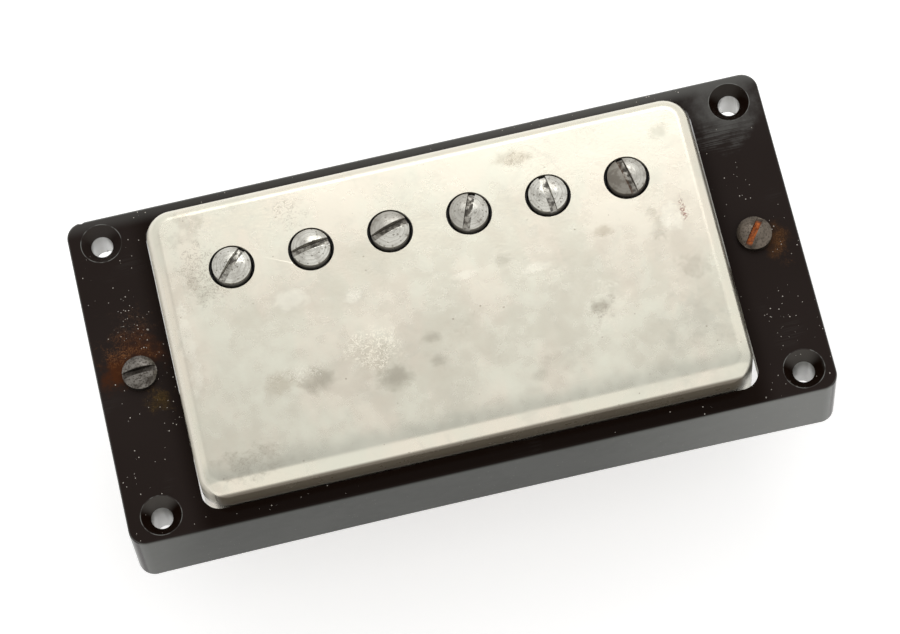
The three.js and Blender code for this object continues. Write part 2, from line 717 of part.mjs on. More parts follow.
function dullMetal(colour) {
  return finish(colour, { roughness: 0.6, metalness: 0.85 });
}

function fibre(colour) {
  return finish(colour, { roughness: 0.75, metalness: 0 });
}

// Assembly

function addMesh(group, name, geometry, material, x = 0, y = 0, z = 0) {
  const mesh = new THREE.Mesh(geometry, material);
  mesh.name = name;
  mesh.position.set(x, y, z);
  group.add(mesh);
}

function addHeightHardware(group) {
  const spring = heightSpring();
  for (const [side, x] of [["left", -HEIGHT_SCREW_X], ["right", HEIGHT_SCREW_X]]) {
    const screw = asGeometry(heightScrew(HEIGHT_SLOT_ANGLES[side]));
    addMesh(group, "height_screw_" + side, screw, wornMetal(COLOURS.heightScrew), x, 0, RING_TOP);
    addMesh(group, "height_spring_" + side, spring, wornMetal(COLOURS.spring), x, 0, 0);
  }
}

function addPoles(group) {
  const slug = asGeometry(poleSlug());
  poleXs().forEach((x, index) => {
    const number = index + 1;
    const screw = asGeometry(poleScrew(POLE_SLOT_ANGLES[index]));
    const steel = wornMetal(COLOURS.poleScrew);
    addMesh(group, "pole_screw_" + number, screw, steel, x, SCREW_ROW_Y, POLE_HEAD_UNDER);
    addMesh(group, "pole_slug_" + number, slug, dullMetal(COLOURS.slug), x, SLUG_ROW_Y, BOBBIN_TOP);
  });
}

function addBobbins(group) {
  for (const [name, rowY, make] of [
    ["screw", SCREW_ROW_Y, screwBobbin],
    ["slug", SLUG_ROW_Y, slugBobbin],
  ]) {
    addMesh(group, name + "_bobbin", asGeometry(make()), plastic(COLOURS.bobbin));
    addMesh(group, name + "_coil", asGeometry(coil(rowY)), wornMetal(COLOURS.coil));
    addMesh(group, name + "_coil_tape", asGeometry(coilTape(rowY)), fibre(COLOURS.tape));
  }
}

function addMagnetLayer(group) {
  addMesh(group, "keeper_bar", asGeometry(keeperBar()), dullMetal(COLOURS.keeper));
  addMesh(group, "bar_magnet", asGeometry(barMagnet()), dullMetal(COLOURS.magnet));
  addMesh(group, "wood_spacer", asGeometry(woodSpacer()), fibre(COLOURS.wood));
}

function addFastenings(group) {
  smallScrewPlaces().forEach(({ x, y }, index) => {
    const screw = asGeometry(bobbinScrew(SMALL_SLOT_ANGLES[index]));
    addMesh(group, "bobbin_screw_" + (index + 1), screw, wornMetal(COLOURS.brass), x, y, BASE_BOTTOM);
  });
  const far = solderJoint();
  const near = far.rotate([0, 0, HALF_TURN_DEGREES]);
  addMesh(group, "solder_joint_far", asGeometry(far), dullMetal(COLOURS.solder));
  addMesh(group, "solder_joint_near", asGeometry(near), dullMetal(COLOURS.solder));
}

function pickup() {
  const group = new THREE.Group();
  addMesh(group, "cover", asGeometry(cover()), wornMetal(COLOURS.cover));
  addMesh(group, "baseplate", asGeometry(baseplate()), wornMetal(COLOURS.baseplate));
  addBobbins(group);
  addPoles(group);
  addMagnetLayer(group);
  addFastenings(group);
  return group;
}

function assembly() {
  const group = new THREE.Group();
  addMesh(group, "mounting_ring", asGeometry(mountingRing()), plastic(COLOURS.ring));
  addHeightHardware(group);
  group.add(pickup());
  return group;
}

export default assembly();
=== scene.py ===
"""Looks of the guitar pickup: a covered pair of coils hung in a black plastic ring.

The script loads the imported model, builds the visible pieces over it and lights them on a pale floor.
Lengths are in metres, written as millimetres times MM, and finishes read millimetres. X runs along the
ring, Y points to the pole screws and Z to the strings.
"""

from __future__ import annotations

import logging
import math
from collections.abc import Callable, Iterator
from contextlib import contextmanager
from copy import copy
from dataclasses import dataclass
from enum import Enum
from typing import Union

import bmesh
import bpy
from bpy.types import Material, Node, NodeSocket, NodeTree
from mathutils import Matrix, Vector


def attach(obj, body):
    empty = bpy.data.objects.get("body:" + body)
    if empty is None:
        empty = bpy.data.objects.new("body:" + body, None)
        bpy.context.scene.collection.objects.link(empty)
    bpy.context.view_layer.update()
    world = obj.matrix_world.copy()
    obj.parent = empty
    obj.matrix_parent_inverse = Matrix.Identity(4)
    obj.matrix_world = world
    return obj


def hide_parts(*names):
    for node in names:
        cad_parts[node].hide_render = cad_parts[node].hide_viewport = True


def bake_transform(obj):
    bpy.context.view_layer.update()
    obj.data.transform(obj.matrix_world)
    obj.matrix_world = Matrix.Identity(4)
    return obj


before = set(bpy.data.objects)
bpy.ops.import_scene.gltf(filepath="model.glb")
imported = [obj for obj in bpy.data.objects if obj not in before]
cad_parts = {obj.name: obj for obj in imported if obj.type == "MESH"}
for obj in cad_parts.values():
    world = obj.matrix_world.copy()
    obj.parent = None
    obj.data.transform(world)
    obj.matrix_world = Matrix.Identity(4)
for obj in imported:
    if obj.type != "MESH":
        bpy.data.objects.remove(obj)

LOG = logging.getLogger("pickup")
MM = 0.001
PER_MM = 1000.0
WELD = 0.000001
UPRIGHT = 0.995
SMOOTH_ANGLE = math.radians(35)
QUARTER, HALF, WHOLE = math.pi / 2, math.pi, 2 * math.pi
RING_TOP = 8.0 * MM
SCREW_HOLE_X = 40.58 * MM
SCREW_HOLE_Y = 18.4 * MM
NEAR_HOLES_OFF = 0.27 * MM
HEIGHT_SCREW_X = 39.23 * MM
BOBBIN_SCREW_X = 20.16 * MM
ROW_Y = 9.6 * MM
POLE_PITCH = 10.08 * MM
POLES = 6

Colour = tuple[float, float, float]
Feed = Union["Wire", float, tuple[float, ...]]
Inputs = dict[Union[int, str], Feed]
Rule = Callable[[object], bool]


class Part(Enum):
    """Kinds of mesh element that an edit works on."""

    FACES = "FACE"
    EDGES = "EDGE"


class Work(Enum):
    """What other pieces do to a piece."""

    CUT = "DIFFERENCE"
    ADD = "UNION"


class Side(Enum):
    """Ends of the ring, by the sign of X."""

    LEFT = -1
    RIGHT = 1


def is_upright(edge: bmesh.types.BMEdge) -> bool:
    """True for an edge along Z."""
    return abs((edge.verts[0].co - edge.verts[1].co).normalized().z) > UPRIGHT


def lies_at(height: float) -> Rule:
    """Makes a rule for elements whose points all lie at one height."""
    return lambda element: all(abs(vertex.co.z - height) < WELD for vertex in element.verts)


def ends_at(place: float) -> Rule:
    """Makes a rule for upright edges at one X."""
    return lambda edge: is_upright(edge) and abs(edge.verts[0].co.x - place) < WELD


def pole_x(index: int) -> float:
    """X of a pole, counted from 0 at the left."""
    return (index - (POLES - 1) / 2) * POLE_PITCH


def turned(degrees: float) -> Matrix:
    """A turn about Z."""
    return Matrix.Rotation(math.radians(degrees), 4, "Z")


def box(length: float, width: float, bottom: float, top: float) -> tuple[Vector, Vector]:
    """The lowest and highest corners of a box centred on Z."""
    return Vector((-length / 2, -width / 2, bottom)), Vector((length / 2, width / 2, top))


class Piece:
    """A mesh on the bench, with the edits, cuts and finishing that shape it."""

    def __init__(self, name: str, primitive: Callable[..., object], **settings: object) -> None:
        """Adds a primitive and moves its place into its mesh.

        Args:
            name: The piece's name.
            primitive: The operator that adds it.
            settings: The operator's settings.
        """
        bpy.ops.object.select_all(action="DESELECT")
        primitive(**settings)
        self.object = bpy.context.object
        self.object.name = self.object.data.name = name
        self.focus()
        bpy.ops.object.transform_apply(location=True, rotation=True, scale=True)

    def focus(self) -> None:
        """Makes the piece the only selected object."""
        bpy.ops.object.select_all(action="DESELECT")
        self.object.hide_set(False)
        self.object.select_set(True)
        bpy.context.view_layer.objects.active = self.object

    @contextmanager
    def editing(self, rule: Rule | None = None, part: Part = Part.FACES) -> Iterator[None]:
        """Opens the piece in edit mode with elements selected, and closes it again.

        Args:
            rule: Returns true for an element to select; without a rule all are.
            part: The kind of element.

        Returns:
            What a with statement takes.
        """
        self.focus()
        bpy.ops.object.mode_set(mode="EDIT")
        bpy.ops.mesh.select_mode(type=part.value)
        bpy.ops.mesh.select_all(action="DESELECT" if rule else "SELECT")
        if rule:
            mesh = bmesh.from_edit_mesh(self.object.data)
            for element in mesh.faces if part is Part.FACES else mesh.edges:
                if rule(element):
                    element.select_set(True)
            bmesh.update_edit_mesh(self.object.data)
        yield
        bpy.ops.object.mode_set(mode="OBJECT")

    def change(self, kind: str, **settings: object) -> None:
        """Adds a modifier and applies it.

        Args:
            kind: The modifier's type.
            settings: The modifier's properties by name.
        """
        self.focus()
        modifier = self.object.modifiers.new(kind.lower(), kind)
        for name, value in settings.items():
            setattr(modifier, name, value)
        bpy.ops.object.modifier_apply(modifier=modifier.name)

    def take(self, *others: Piece, work: Work = Work.CUT) -> None:
        """Cuts other pieces out of this one, or adds them, and uses them up.

        Args:
            others: The other pieces.
            work: What they do.
        """
        for other in others:
            self.change("BOOLEAN", object=other.object, operation=work.value, solver="EXACT")
            other.remove()

    def round_edges(self, rule: Rule, width: float, segments: int) -> None:
        """Bevels the edges that a rule names, in a number of segments."""
        with self.editing(rule, Part.EDGES):
            bpy.ops.mesh.bevel(offset=width, segments=segments, affect="EDGES", clamp_overlap=False)

    def ease(self, width: float, segments: int = 2, angle: float = 50) -> None:
        """Rounds every edge sharper than a number of degrees, in a number of segments."""
        limit = {"limit_method": "ANGLE", "angle_limit": math.radians(angle), "use_clamp_overlap": True}
        self.change("BEVEL", width=width, segments=segments, miter_outer="MITER_ARC", **limit)

    def wind(self, steps: int, drop: float, angle: float = WHOLE, times: int = 1) -> None:
        """Winds a profile round Z through an angle, in steps and with a drop, a number of times."""
        count = {"steps": steps, "render_steps": steps, "iterations": times}
        self.change("SCREW", angle=angle, screw_offset=-drop, axis="Z", **count)

    def clean(self, close: bool = True) -> None:
        """Merges doubles and turns all faces outwards.

        Args:
            close: Whether holes are closed too.
        """
        with self.editing():
            bpy.ops.mesh.remove_doubles(threshold=WELD)
            if close:
                bpy.ops.mesh.fill_holes(sides=0)
            bpy.ops.mesh.normals_make_consistent(inside=False)

    def smooth(self, angle: float = SMOOTH_ANGLE) -> None:
        """Shades the piece smooth, apart from edges sharper than an angle."""
        self.focus()
        bpy.ops.object.shade_smooth_by_angle(angle=angle)

    def level_normals(self) -> None:
        """Bends the shading of rounded edges so that flat faces stay flat."""
        self.change("WEIGHTED_NORMAL", keep_sharp=True)

    def join(self, *others: Piece) -> None:
        """Joins other pieces into this one.

        Args:
            others: The other pieces, which are used up.
        """
        self.focus()
        for other in others:
            other.object.select_set(True)
        bpy.ops.object.join()

    def move(self, move: Matrix) -> None:
        """Moves the piece's mesh."""
        self.object.data.transform(move)

    def remove(self) -> None:
        """Deletes the piece."""
        bpy.data.objects.remove(self.object, do_unlink=True)

    def copied(self, name: str, move: Matrix) -> Piece:
        """Copies the piece with its own mesh.

        Args:
            name: The copy's name.
            move: Where the copy's mesh goes.

        Returns:
            The copy.
        """
        twin = copy(self)
        twin.object = self.object.copy()
        twin.object.data = self.object.data.copy()
        twin.object.name = twin.object.data.name = name
        twin.move(move)
        bpy.context.scene.collection.objects.link(twin.object)
        return twin

    def mark_axis(self, height: float) -> None:
        """Writes each point's place from the point on Z at a height, for the piece's finish.

        Args:
            height: The height that counts as zero.
        """
        attribute = self.object.data.attributes.new("from_axis", "FLOAT_VECTOR", "POINT")
        axis = Vector((0, 0, height))
        away = [number for vertex in self.object.data.vertices for number in vertex.co - axis]
        attribute.data.foreach_set("vector", away)

    def mark_tone(self, tone: float) -> None:
        """Writes how dark the piece is, from 0, as its finish says, to 1."""
        attribute = self.object.data.attributes.new("tone", "FLOAT", "POINT")
        attribute.data.foreach_set("value", [tone] * len(self.object.data.vertices))

    def dress(self, finish: Finish) -> None:
        """Gives the piece its finish."""
        self.object.data.materials.append(finish.build())

    def install(self, node: str, slot: str, body: str | None = None) -> Piece:
        """Hides the CAD node that the piece stands for and hangs the piece on the body that it rides on, if
        any.

        Args:
            node: The CAD node that it replaces.
            slot: Not used.
            body: The body, or none to leave the piece unattached.

        Returns:
            The piece.
        """
        if body:
            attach(self.object, body)
        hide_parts(node)
        return self


class Block(Piece):
    """A block between two corners, with round upright edges if it has a corner radius."""

    def __init__(self, name: str, low: Vector, high: Vector, corner: float = 0.0, segments: int = 10) -> None:
        """Adds the block.

        Args:
            name: The piece's name.
            low: The lowest corner.
            high: The highest corner.
            corner: The radius of the upright edges.
            segments: The number of steps round each.
        """
        place = {"location": (low + high) / 2, "scale": high - low}
        super().__init__(name, bpy.ops.mesh.primitive_cube_add, size=1, **place)
        if corner:
            self.round_edges(is_upright, corner, segments)


class Drum(Piece):
    """An upright cylinder or cone."""

    def __init__(
        self,
        name: str,
        radius: float,
        bottom: float,
        top: float,
        place: tuple[float, float] = (0, 0),
        sides: int = 64,
        top_radius: float | None = None,
    ) -> None:
        """Adds the drum.

        Args:
            name: The piece's name.
            radius: The radius at the bottom.
            bottom: The lower height.
            top: The upper height.
            place: X and Y of the axis.
            sides: The number of sides.
            top_radius: The radius at the top, if it differs.
        """
        radii = {"radius1": radius, "radius2": radius if top_radius is None else top_radius}
        size = {"vertices": sides, "depth": top - bottom, "location": (*place, (bottom + top) / 2)}
        super().__init__(name, bpy.ops.mesh.primitive_cone_add, **radii, **size)


@dataclass(frozen=True)
class Wire:
    """A value in a node tree, number or vector, with the sums and ramps that finishes are written in."""

    graph: Graph
    socket: NodeSocket

    def work(self, operation: str, *values: Feed) -> Wire:
        """Adds a math node of this value's kind."""
        kind = "ShaderNodeVectorMath" if self.socket.type == "VECTOR" else "ShaderNodeMath"
        return self.graph.node(kind, dict(enumerate(values)), operation=operation)

    def __add__(self, other: Feed) -> Wire:
        """The sum."""
        return self.work("ADD", self, other)

    def __sub__(self, other: Feed) -> Wire:
        """The difference."""
        return self.work("SUBTRACT", self, other)

    def __rsub__(self, other: Feed) -> Wire:
        """What is left of another value."""
        return self.work("SUBTRACT", other, self)

    def __mul__(self, other: Feed) -> Wire:
        """The product."""
        return self.work("MULTIPLY", self, other)

    def __truediv__(self, other: Feed) -> Wire:
        """The quotient."""
        return self.work("DIVIDE", self, other)

    def __or__(self, other: Feed) -> Wire:
        """The greater of the two."""
        return self.work("MAXIMUM", self, other)

    def __lt__(self, other: Feed) -> Wire:
        """1 where it is less, otherwise 0."""
        return self.work("LESS_THAN", self, other)

    def __abs__(self) -> Wire:
        """The value without its sign."""
        return self.work("ABSOLUTE", self)

    def clamped(self) -> Wire:
        """The value held between 0 and 1."""
        return self.graph.node("ShaderNodeClamp", {"Value": self})

    def length(self) -> Wire:
        """A vector's length."""
        return self.work("LENGTH", self).out("Value")

    def out(self, name: str) -> Wire:
        """Another output of the node that gives this value."""
        return Wire(self.graph, self.socket.node.outputs[name])

    def axes(self) -> tuple[Wire, ...]:
        """A vector's three numbers."""
        split = self.graph.node("ShaderNodeSeparateXYZ", {0: self})
        return tuple(split.out(name) for name in "XYZ")

    def ramp(self, low: Feed, high: Feed, start: Feed = 0.0, end: Feed = 1.0) -> Wire:
        """Turns a value between low and high into one between start and end, smoothly."""
        inputs = {"Value": self, "From Min": low, "From Max": high, "To Min": start, "To Max": end}
        return self.graph.node("ShaderNodeMapRange", inputs, interpolation_type="SMOOTHSTEP")


class Graph:
    """A node tree under construction, with short calls for the nodes used here."""

    def __init__(self, tree: NodeTree) -> None:
        """Keeps the tree."""
        self.tree = tree

    def add(self, kind: str, inputs: Inputs | None = None, **settings: object) -> Node:
        """Adds a node.

        Args:
            kind: The node's type.
            inputs: What feeds each input, by name or number.
            settings: The node's properties by name.

        Returns:
            The node.
        """
        made = self.tree.nodes.new(kind)
        for name, value in settings.items():
            setattr(made, name, value)
        for name, value in (inputs or {}).items():
            self.feed(made.inputs[name], value)
        return made

    def node(self, kind: str, inputs: Inputs | None = None, output: int | str = 0, **settings: object) -> Wire:
        """Adds a node and gives one of its outputs."""
        return Wire(self, self.add(kind, inputs, **settings).outputs[output])

    def feed(self, socket: NodeSocket, value: Feed) -> None:
        """Links an input to a wire or sets its own value.

        Args:
            socket: The input.
            value: A wire, a number, a vector or a colour.
        """
        if isinstance(value, Wire):
            self.tree.links.new(value.socket, socket)
        else:
            socket.default_value = (*value, 1.0) if socket.type == "RGBA" else value

    def mix(self, share: Wire, first: Feed, second: Feed) -> Wire:
        """Mixes two colours.

        Args:
            share: How much of the second shows.
            first: The first colour.
            second: The second colour.

        Returns:
            The mixture.
        """
        made = self.add("ShaderNodeMix", data_type="RGBA")
        for number, value in ((0, share), (6, first), (7, second)):
            self.feed(made.inputs[number], value)
        return Wire(self, made.outputs[2])

    def coats(self, colour: Feed, *coats: tuple[Wire, Feed]) -> Wire:
        """Lays coats over a colour.

        Args:
            colour: The colour below.
            coats: The mask and the colour of each coat, in order.

        Returns:
            The colour on top.
        """
        for mask, tone in coats:
            colour = self.mix(mask, colour, tone)
        return colour

    def noise(self, place: Wire, scale: Feed, detail: float = 3, rough: float = 0.55, warp: float = 0) -> Wire:
        """Adds a noise texture.

        Args:
            place: The coordinates, in millimetres.
            scale: Waves in a millimetre.
            detail: The number of finer layers.
            rough: The strength of the finer layers.
            warp: How far the pattern is bent.

        Returns:
            The noise, about 0.5.
        """
        inputs = {"Vector": place, "Scale": scale, "Detail": detail, "Roughness": rough, "Distortion": warp}
        return self.node("ShaderNodeTexNoise", inputs)

    def stretch(self, place: Wire, scale: Feed, turn: Feed = (0, 0, 0)) -> Wire:
        """Turns and stretches coordinates."""
        return self.node("ShaderNodeMapping", {"Vector": place, "Rotation": turn, "Scale": scale})

    def bump(self, height: Wire, depth: float, normal: Wire | None = None) -> Wire:
        """Turns a height into a bent normal.

        Args:
            height: The height, from 0 to 1.
            depth: The depth in millimetres that 1 stands for.
            normal: A normal to start from.

        Returns:
            The normal.
        """
        inputs = {"Height": height, "Distance": depth * MM, "Strength": 1.0}
        return self.node("ShaderNodeBump", inputs | ({"Normal": normal} if normal else {}))


class Effects:
    """Shader node groups that several materials share, each built once and giving one mask."""

    def __init__(self) -> None:
        """Builds every group with its inputs' first values."""
        zero = (0.0, 0.0, 0.0)
        self.stain = self.group(self.draw_stain, centre=zero, radii=(1.0, 1.0, 1.0), ragged=0.5, soft=0.5)
        self.specks = self.group(self.draw_specks, scale=1.0, size=0.1, share=0.2)
        self.scratches = self.group(self.draw_scratches, turn=zero, amount=0.3)
        self.edge_wear = self.group(self.draw_edge_wear, amount=0.5)
        self.mottle = self.group(self.draw_mottle, scale=0.2)
        self.crackle = self.group(self.draw_crackle, scale=1.5)

    @staticmethod
    def group(draw: Callable[..., Wire], **inputs: Feed) -> NodeTree:
        """Builds a group.

        Args:
            draw: Draws its nodes and returns the mask.
            inputs: The first value of each input besides the place.

        Returns:
            The group.
        """
        tree = bpy.data.node_groups.new(draw.__name__.removeprefix("draw_"), "ShaderNodeTree")
        values = {"place": (0.0, 0.0, 0.0), **inputs}
        for name, value in values.items():
            kind = "NodeSocketFloat" if isinstance(value, float) else "NodeSocketVector"
            socket = tree.interface.new_socket(name.capitalize(), in_out="INPUT", socket_type=kind)
            socket.default_value = value
        tree.interface.new_socket("Mask", in_out="OUTPUT", socket_type="NodeSocketFloat")
        graph = Graph(tree)
        given = graph.add("NodeGroupInput").outputs
        mask = draw(graph, **{name: Wire(graph, given[name.capitalize()]) for name in values})
        graph.add("NodeGroupOutput", {"Mask": mask})
        return tree

    @staticmethod
    def draw_stain(graph: Graph, place: Wire, centre: Wire, radii: Wire, ragged: Wire, soft: Wire) -> Wire:
        """A soft-edged patch about a centre, its edge made ragged by noise."""
        uneven = (graph.noise(place, 0.6, 5, 0.65) - 0.5) * ragged * 4.0
        return (((place - centre) / radii).length() + uneven).ramp(1.0 - soft, 1.0, 1.0, 0.0)

    @staticmethod
    def draw_specks(graph: Graph, place: Wire, scale: Wire, size: Wire, share: Wire) -> Wire:
        """Small scattered dots, of which only a share shows.

        Args:
            graph: The group's tree.
            place: The coordinates.
            scale: Dots in a unit of length.
            size: The reach of a dot in its cell.
            share: The part of the dots that shows.

        Returns:
            The mask.
        """
        cells = graph.node("ShaderNodeTexVoronoi", {"Vector": place, "Scale": scale})
        chance = graph.node("ShaderNodeSeparateColor", {0: cells.out("Color")})
        dot = cells.out("Distance") < size * (chance.out("Green") + 0.35)
        return dot * (chance.out("Red") < share)

    @staticmethod
    def draw_scratches(graph: Graph, place: Wire, turn: Wire, amount: Wire) -> Wire:
        """Fine lines along the turned X, by their amount."""
        least, along = 0.82 - amount * 0.3, graph.stretch(place, (0.12, 4.5, 1), turn)
        return graph.noise(along, 1.0, 2, 0.6, 0.25).ramp(least, least + 0.03)

    @staticmethod
    def draw_edge_wear(graph: Graph, place: Wire, amount: Wire) -> Wire:
        """Rubbed edges, broken up by noise."""
        edge = graph.node("ShaderNodeNewGeometry", output="Pointiness").ramp(0.51, 0.58)
        return (edge * graph.noise(place, 1.1, 4).ramp(0.35, 0.62) * amount).clamped()

    @staticmethod
    def draw_mottle(graph: Graph, place: Wire, scale: Wire) -> Wire:
        """Cloudy unevenness in two sizes."""
        small = graph.noise(place, scale * 6.0, 3.0, 0.5) * 0.35
        return (graph.noise(place, scale, 4.0, 0.5) * 0.65 + small).ramp(0.3, 0.7)

    @staticmethod
    def draw_crackle(graph: Graph, place: Wire, scale: Wire) -> Wire:
        """Fine worm-like marks, as of pitted plate."""
        return abs(graph.noise(place, scale, 3.0, 0.5, 1.2) - 0.5).ramp(0.01, 0.05, 1.0, 0.0)


EFFECTS = Effects()


class Surface(Graph):
    """A material's tree, with the place of the surface's point in millimetres."""

    def __init__(self, tree: NodeTree) -> None:
        """Keeps the tree and reads the place."""
        super().__init__(tree)
        self.place = self.stretch(self.node("ShaderNodeTexCoord", output="Object"), (PER_MM,) * 3)

    def facing(self) -> tuple[Wire, ...]:
        """The surface's normal by axis."""
        return self.node("ShaderNodeNewGeometry", output="Normal").axes()

    def scratches(self, degrees: float, amount: float) -> Wire:
        """Fine lines turned about Z."""
        return self.effect(EFFECTS.scratches, turn=(0, 0, math.radians(degrees)), amount=amount)

    def effect(self, tree: NodeTree, place: Wire | None = None, **inputs: Feed) -> Wire:
        """Places an effect, at the surface's own place unless another is given."""
        named = {name.capitalize(): value for name, value in inputs.items()}
        return self.node("ShaderNodeGroup", {"Place": place or self.place, **named}, node_tree=tree)


@dataclass(frozen=True)
class Finish:
    """A finish with the values of its shader's own sockets."""

    name: str
    metallic: float = 0.0
    ior: float = 1.45

    def build(self) -> Material:
        """Makes the material.

        Returns:
            The material.
        """
        material = bpy.data.materials.new(self.name)
        material.use_nodes = True
        graph = Surface(material.node_tree)
        inputs = material.node_tree.nodes["Principled BSDF"].inputs
        inputs["Metallic"].default_value = self.metallic
        inputs["IOR"].default_value = self.ior
        for socket, value in self.paint(graph).items():
            graph.feed(inputs[socket], value)
        return material

    def paint(self, graph: Surface) -> Inputs:
        """Builds the nodes of the finish.

        Args:
            graph: The material's tree.

        Returns:
            What feeds each of the shader's sockets.
        """
        raise NotImplementedError


@dataclass(frozen=True)
class Stain:
    """One mark on a surface: its middle, reach, colour and strength."""

    x: float
    y: float
    reach_x: float
    reach_y: float
    colour: Colour
    strength: float
    ragged: float = 0.5
    soft: float = 0.8

    def mask(self, graph: Surface) -> Wire:
        """Where and how strongly the mark lies."""
        where = {"centre": (self.x, self.y, 0), "radii": (self.reach_x, self.reach_y, 100)}
        return graph.effect(EFFECTS.stain, ragged=self.ragged, soft=self.soft, **where) * self.strength


@dataclass(frozen=True)
class CoverNickel(Finish):
    """Old nickel plate: warm and cloudy, with grey stains, pitted patches, pale bends of oxide and painted
    highlight, a painted shade band inside the near bend and walls darkened by a painted reflection of the ring.
    """

    plate: Colour = (0.80, 0.755, 0.635)
    green: Colour = (0.735, 0.745, 0.64)
    pink: Colour = (0.845, 0.76, 0.645)
    grey: Colour = (0.65, 0.63, 0.54)
    # Painted shade inside the near bend.
    rim_shade: Colour = (0.56, 0.555, 0.475)
    smudge: Colour = (0.38, 0.35, 0.28)
    brown: Colour = (0.50, 0.44, 0.34)
    pit: Colour = (0.27, 0.22, 0.17)
    pale: Colour = (0.93, 0.90, 0.78)
    bare: Colour = (0.99, 0.94, 0.80)
    red: Colour = (0.30, 0.14, 0.11)
    # Pale oxide and painted highlight on the left and far bends.
    oxide_and_highlight: Colour = (0.88, 0.83, 0.71)
    # Painted reflection of the black ring on the cover's walls.
    reflected_ring: Colour = (0.18, 0.152, 0.112)
    reflected_ring_end: Colour = (0.20, 0.178, 0.142)
    flat_y: float = 17.4
    ring_top: float = RING_TOP * PER_MM
    stains: tuple[Stain, ...] = (
        Stain(-18.0, -7.6, 3.0, 2.4, smudge, 0.62, 0.35),
        Stain(-22.3, -7.0, 2.6, 2.2, brown, 0.5, 0.4),
        Stain(-8.6, -9.3, 3.0, 2.2, smudge, 0.62, 0.35),
        Stain(-10.6, -6.0, 4.4, 3.4, brown, 0.3, 0.5),
        Stain(-3.3, -5.5, 1.8, 1.1, smudge, 0.4, 0.35),
        Stain(-3.1, -8.5, 1.4, 1.0, smudge, 0.4, 0.35),
        Stain(18.2, -6.2, 2.0, 1.4, smudge, 0.65, 0.4),
        Stain(20.7, 3.4, 1.6, 1.0, brown, 0.6, 0.4),
        Stain(7.5, 2.6, 1.6, 1.2, smudge, 0.3),
        Stain(12.0, 15.6, 3.4, 1.4, brown, 0.5, 0.4),
        Stain(29.0, -11.0, 4.5, 5.0, grey, 0.55, 0.8, 0.9),
        Stain(11.9, -12.2, 3.4, 2.2, smudge, 0.18),
        Stain(8.7, -13.6, 1.6, 1.1, smudge, 0.22),
        Stain(-29.5, 15.8, 3.4, 2.6, smudge, 0.26, 0.9),
        Stain(-30.3, 8.4, 2.0, 3.0, smudge, 0.3, 1.0),
        Stain(-28.0, -16.2, 5.0, 2.2, smudge, 0.2, 1.0),
        Stain(30.6, 14.8, 1.8, 1.4, smudge, 0.3),
        Stain(30.6, -4.0, 2.4, 1.8, smudge, 0.26, 0.9),
        Stain(27.4, 2.6, 1.4, 3.0, smudge, 0.3, 0.9),
        Stain(29.4, 3.2, 1.6, 2.2, pale, 0.5, 0.5, 0.4),
        Stain(-18.7, 3.6, 2.6, 1.6, pale, 0.65, 0.4, 0.5),
        Stain(-11.5, 2.1, 1.5, 1.1, pale, 0.6, 0.4, 0.5),
        Stain(2.5, 1.7, 1.9, 0.8, pale, 0.5, 0.4, 0.5),
        Stain(11.6, 0.6, 2.2, 0.9, pale, 0.5, 0.4, 0.5),
        Stain(-32.4, 0.4, 1.0, 7.0, pale, 0.45, 0.9, 0.5),
    )
    pitted: tuple[Stain, ...] = (
        Stain(-10.4, -5.0, 4.4, 3.4, bare, 1.0, 0.4, 0.5),
        Stain(1.2, -8.4, 4.4, 4.4, bare, 1.0, 0.4, 0.8),
        Stain(1.2, -8.4, 5.0, 5.0, pit, 0.25, 0.5, 0.6),
        Stain(18.4, -6.0, 3.8, 5.6, pale, 0.55, 0.7),
        Stain(-20.0, -6.2, 4.0, 1.6, pale, 0.8, 0.6),
        Stain(18.4, -6.4, 2.2, 2.0, pit, 0.7, 0.7),
        Stain(-28.5, -16.0, 4.6, 2.4, pit, 0.25, 0.8),
        Stain(31.0, 3.8, 0.6, 2.0, red, 0.9, 0.5, 0.6),
        Stain(-29.0, 10.0, 3.4, 6.0, pit, 0.45, 0.8),
        Stain(11.9, 15.4, 2.4, 1.6, pit, 0.4, 0.8),
        Stain(-17.0, 15.0, 3.0, 2.4, pit, 0.35, 0.8),
    )

    def paint(self, graph: Surface) -> Inputs:
        """Builds the nodes of the finish.

        Args:
            graph: The material's tree.

        Returns:
            What feeds each of the shader's sockets.
        """
        _, y, z = graph.place.axes()
        facing_x, facing_y, _ = graph.facing()
        clouds = graph.effect(EFFECTS.mottle, scale=0.09)
        streaks = graph.stretch(graph.place, (0.16, 0.07, 0.1), (0, 0, math.radians(4)))
        bands = graph.noise(streaks, 1.0, 3).ramp(0.42, 0.6)
        dull = graph.noise(graph.place, 0.3, 5, 0.62, 0.5).ramp(0.48, 0.72)
        pits = graph.effect(EFFECTS.crackle, scale=1.6)
        lone = graph.effect(EFFECTS.specks, scale=1.1, size=0.1, share=0.1)
        proud = z.ramp(self.ring_top - 1.0, self.ring_top + 0.5)
        # Pale oxide and painted highlight on the left- and far-facing walls and bends above the ring, less
        # metallic there.
        chalk_and_highlight = (facing_x.ramp(-0.4, -0.75, 0.0, 0.85) | facing_y.ramp(0.3, 0.8, 0.0, 0.5)) * proud
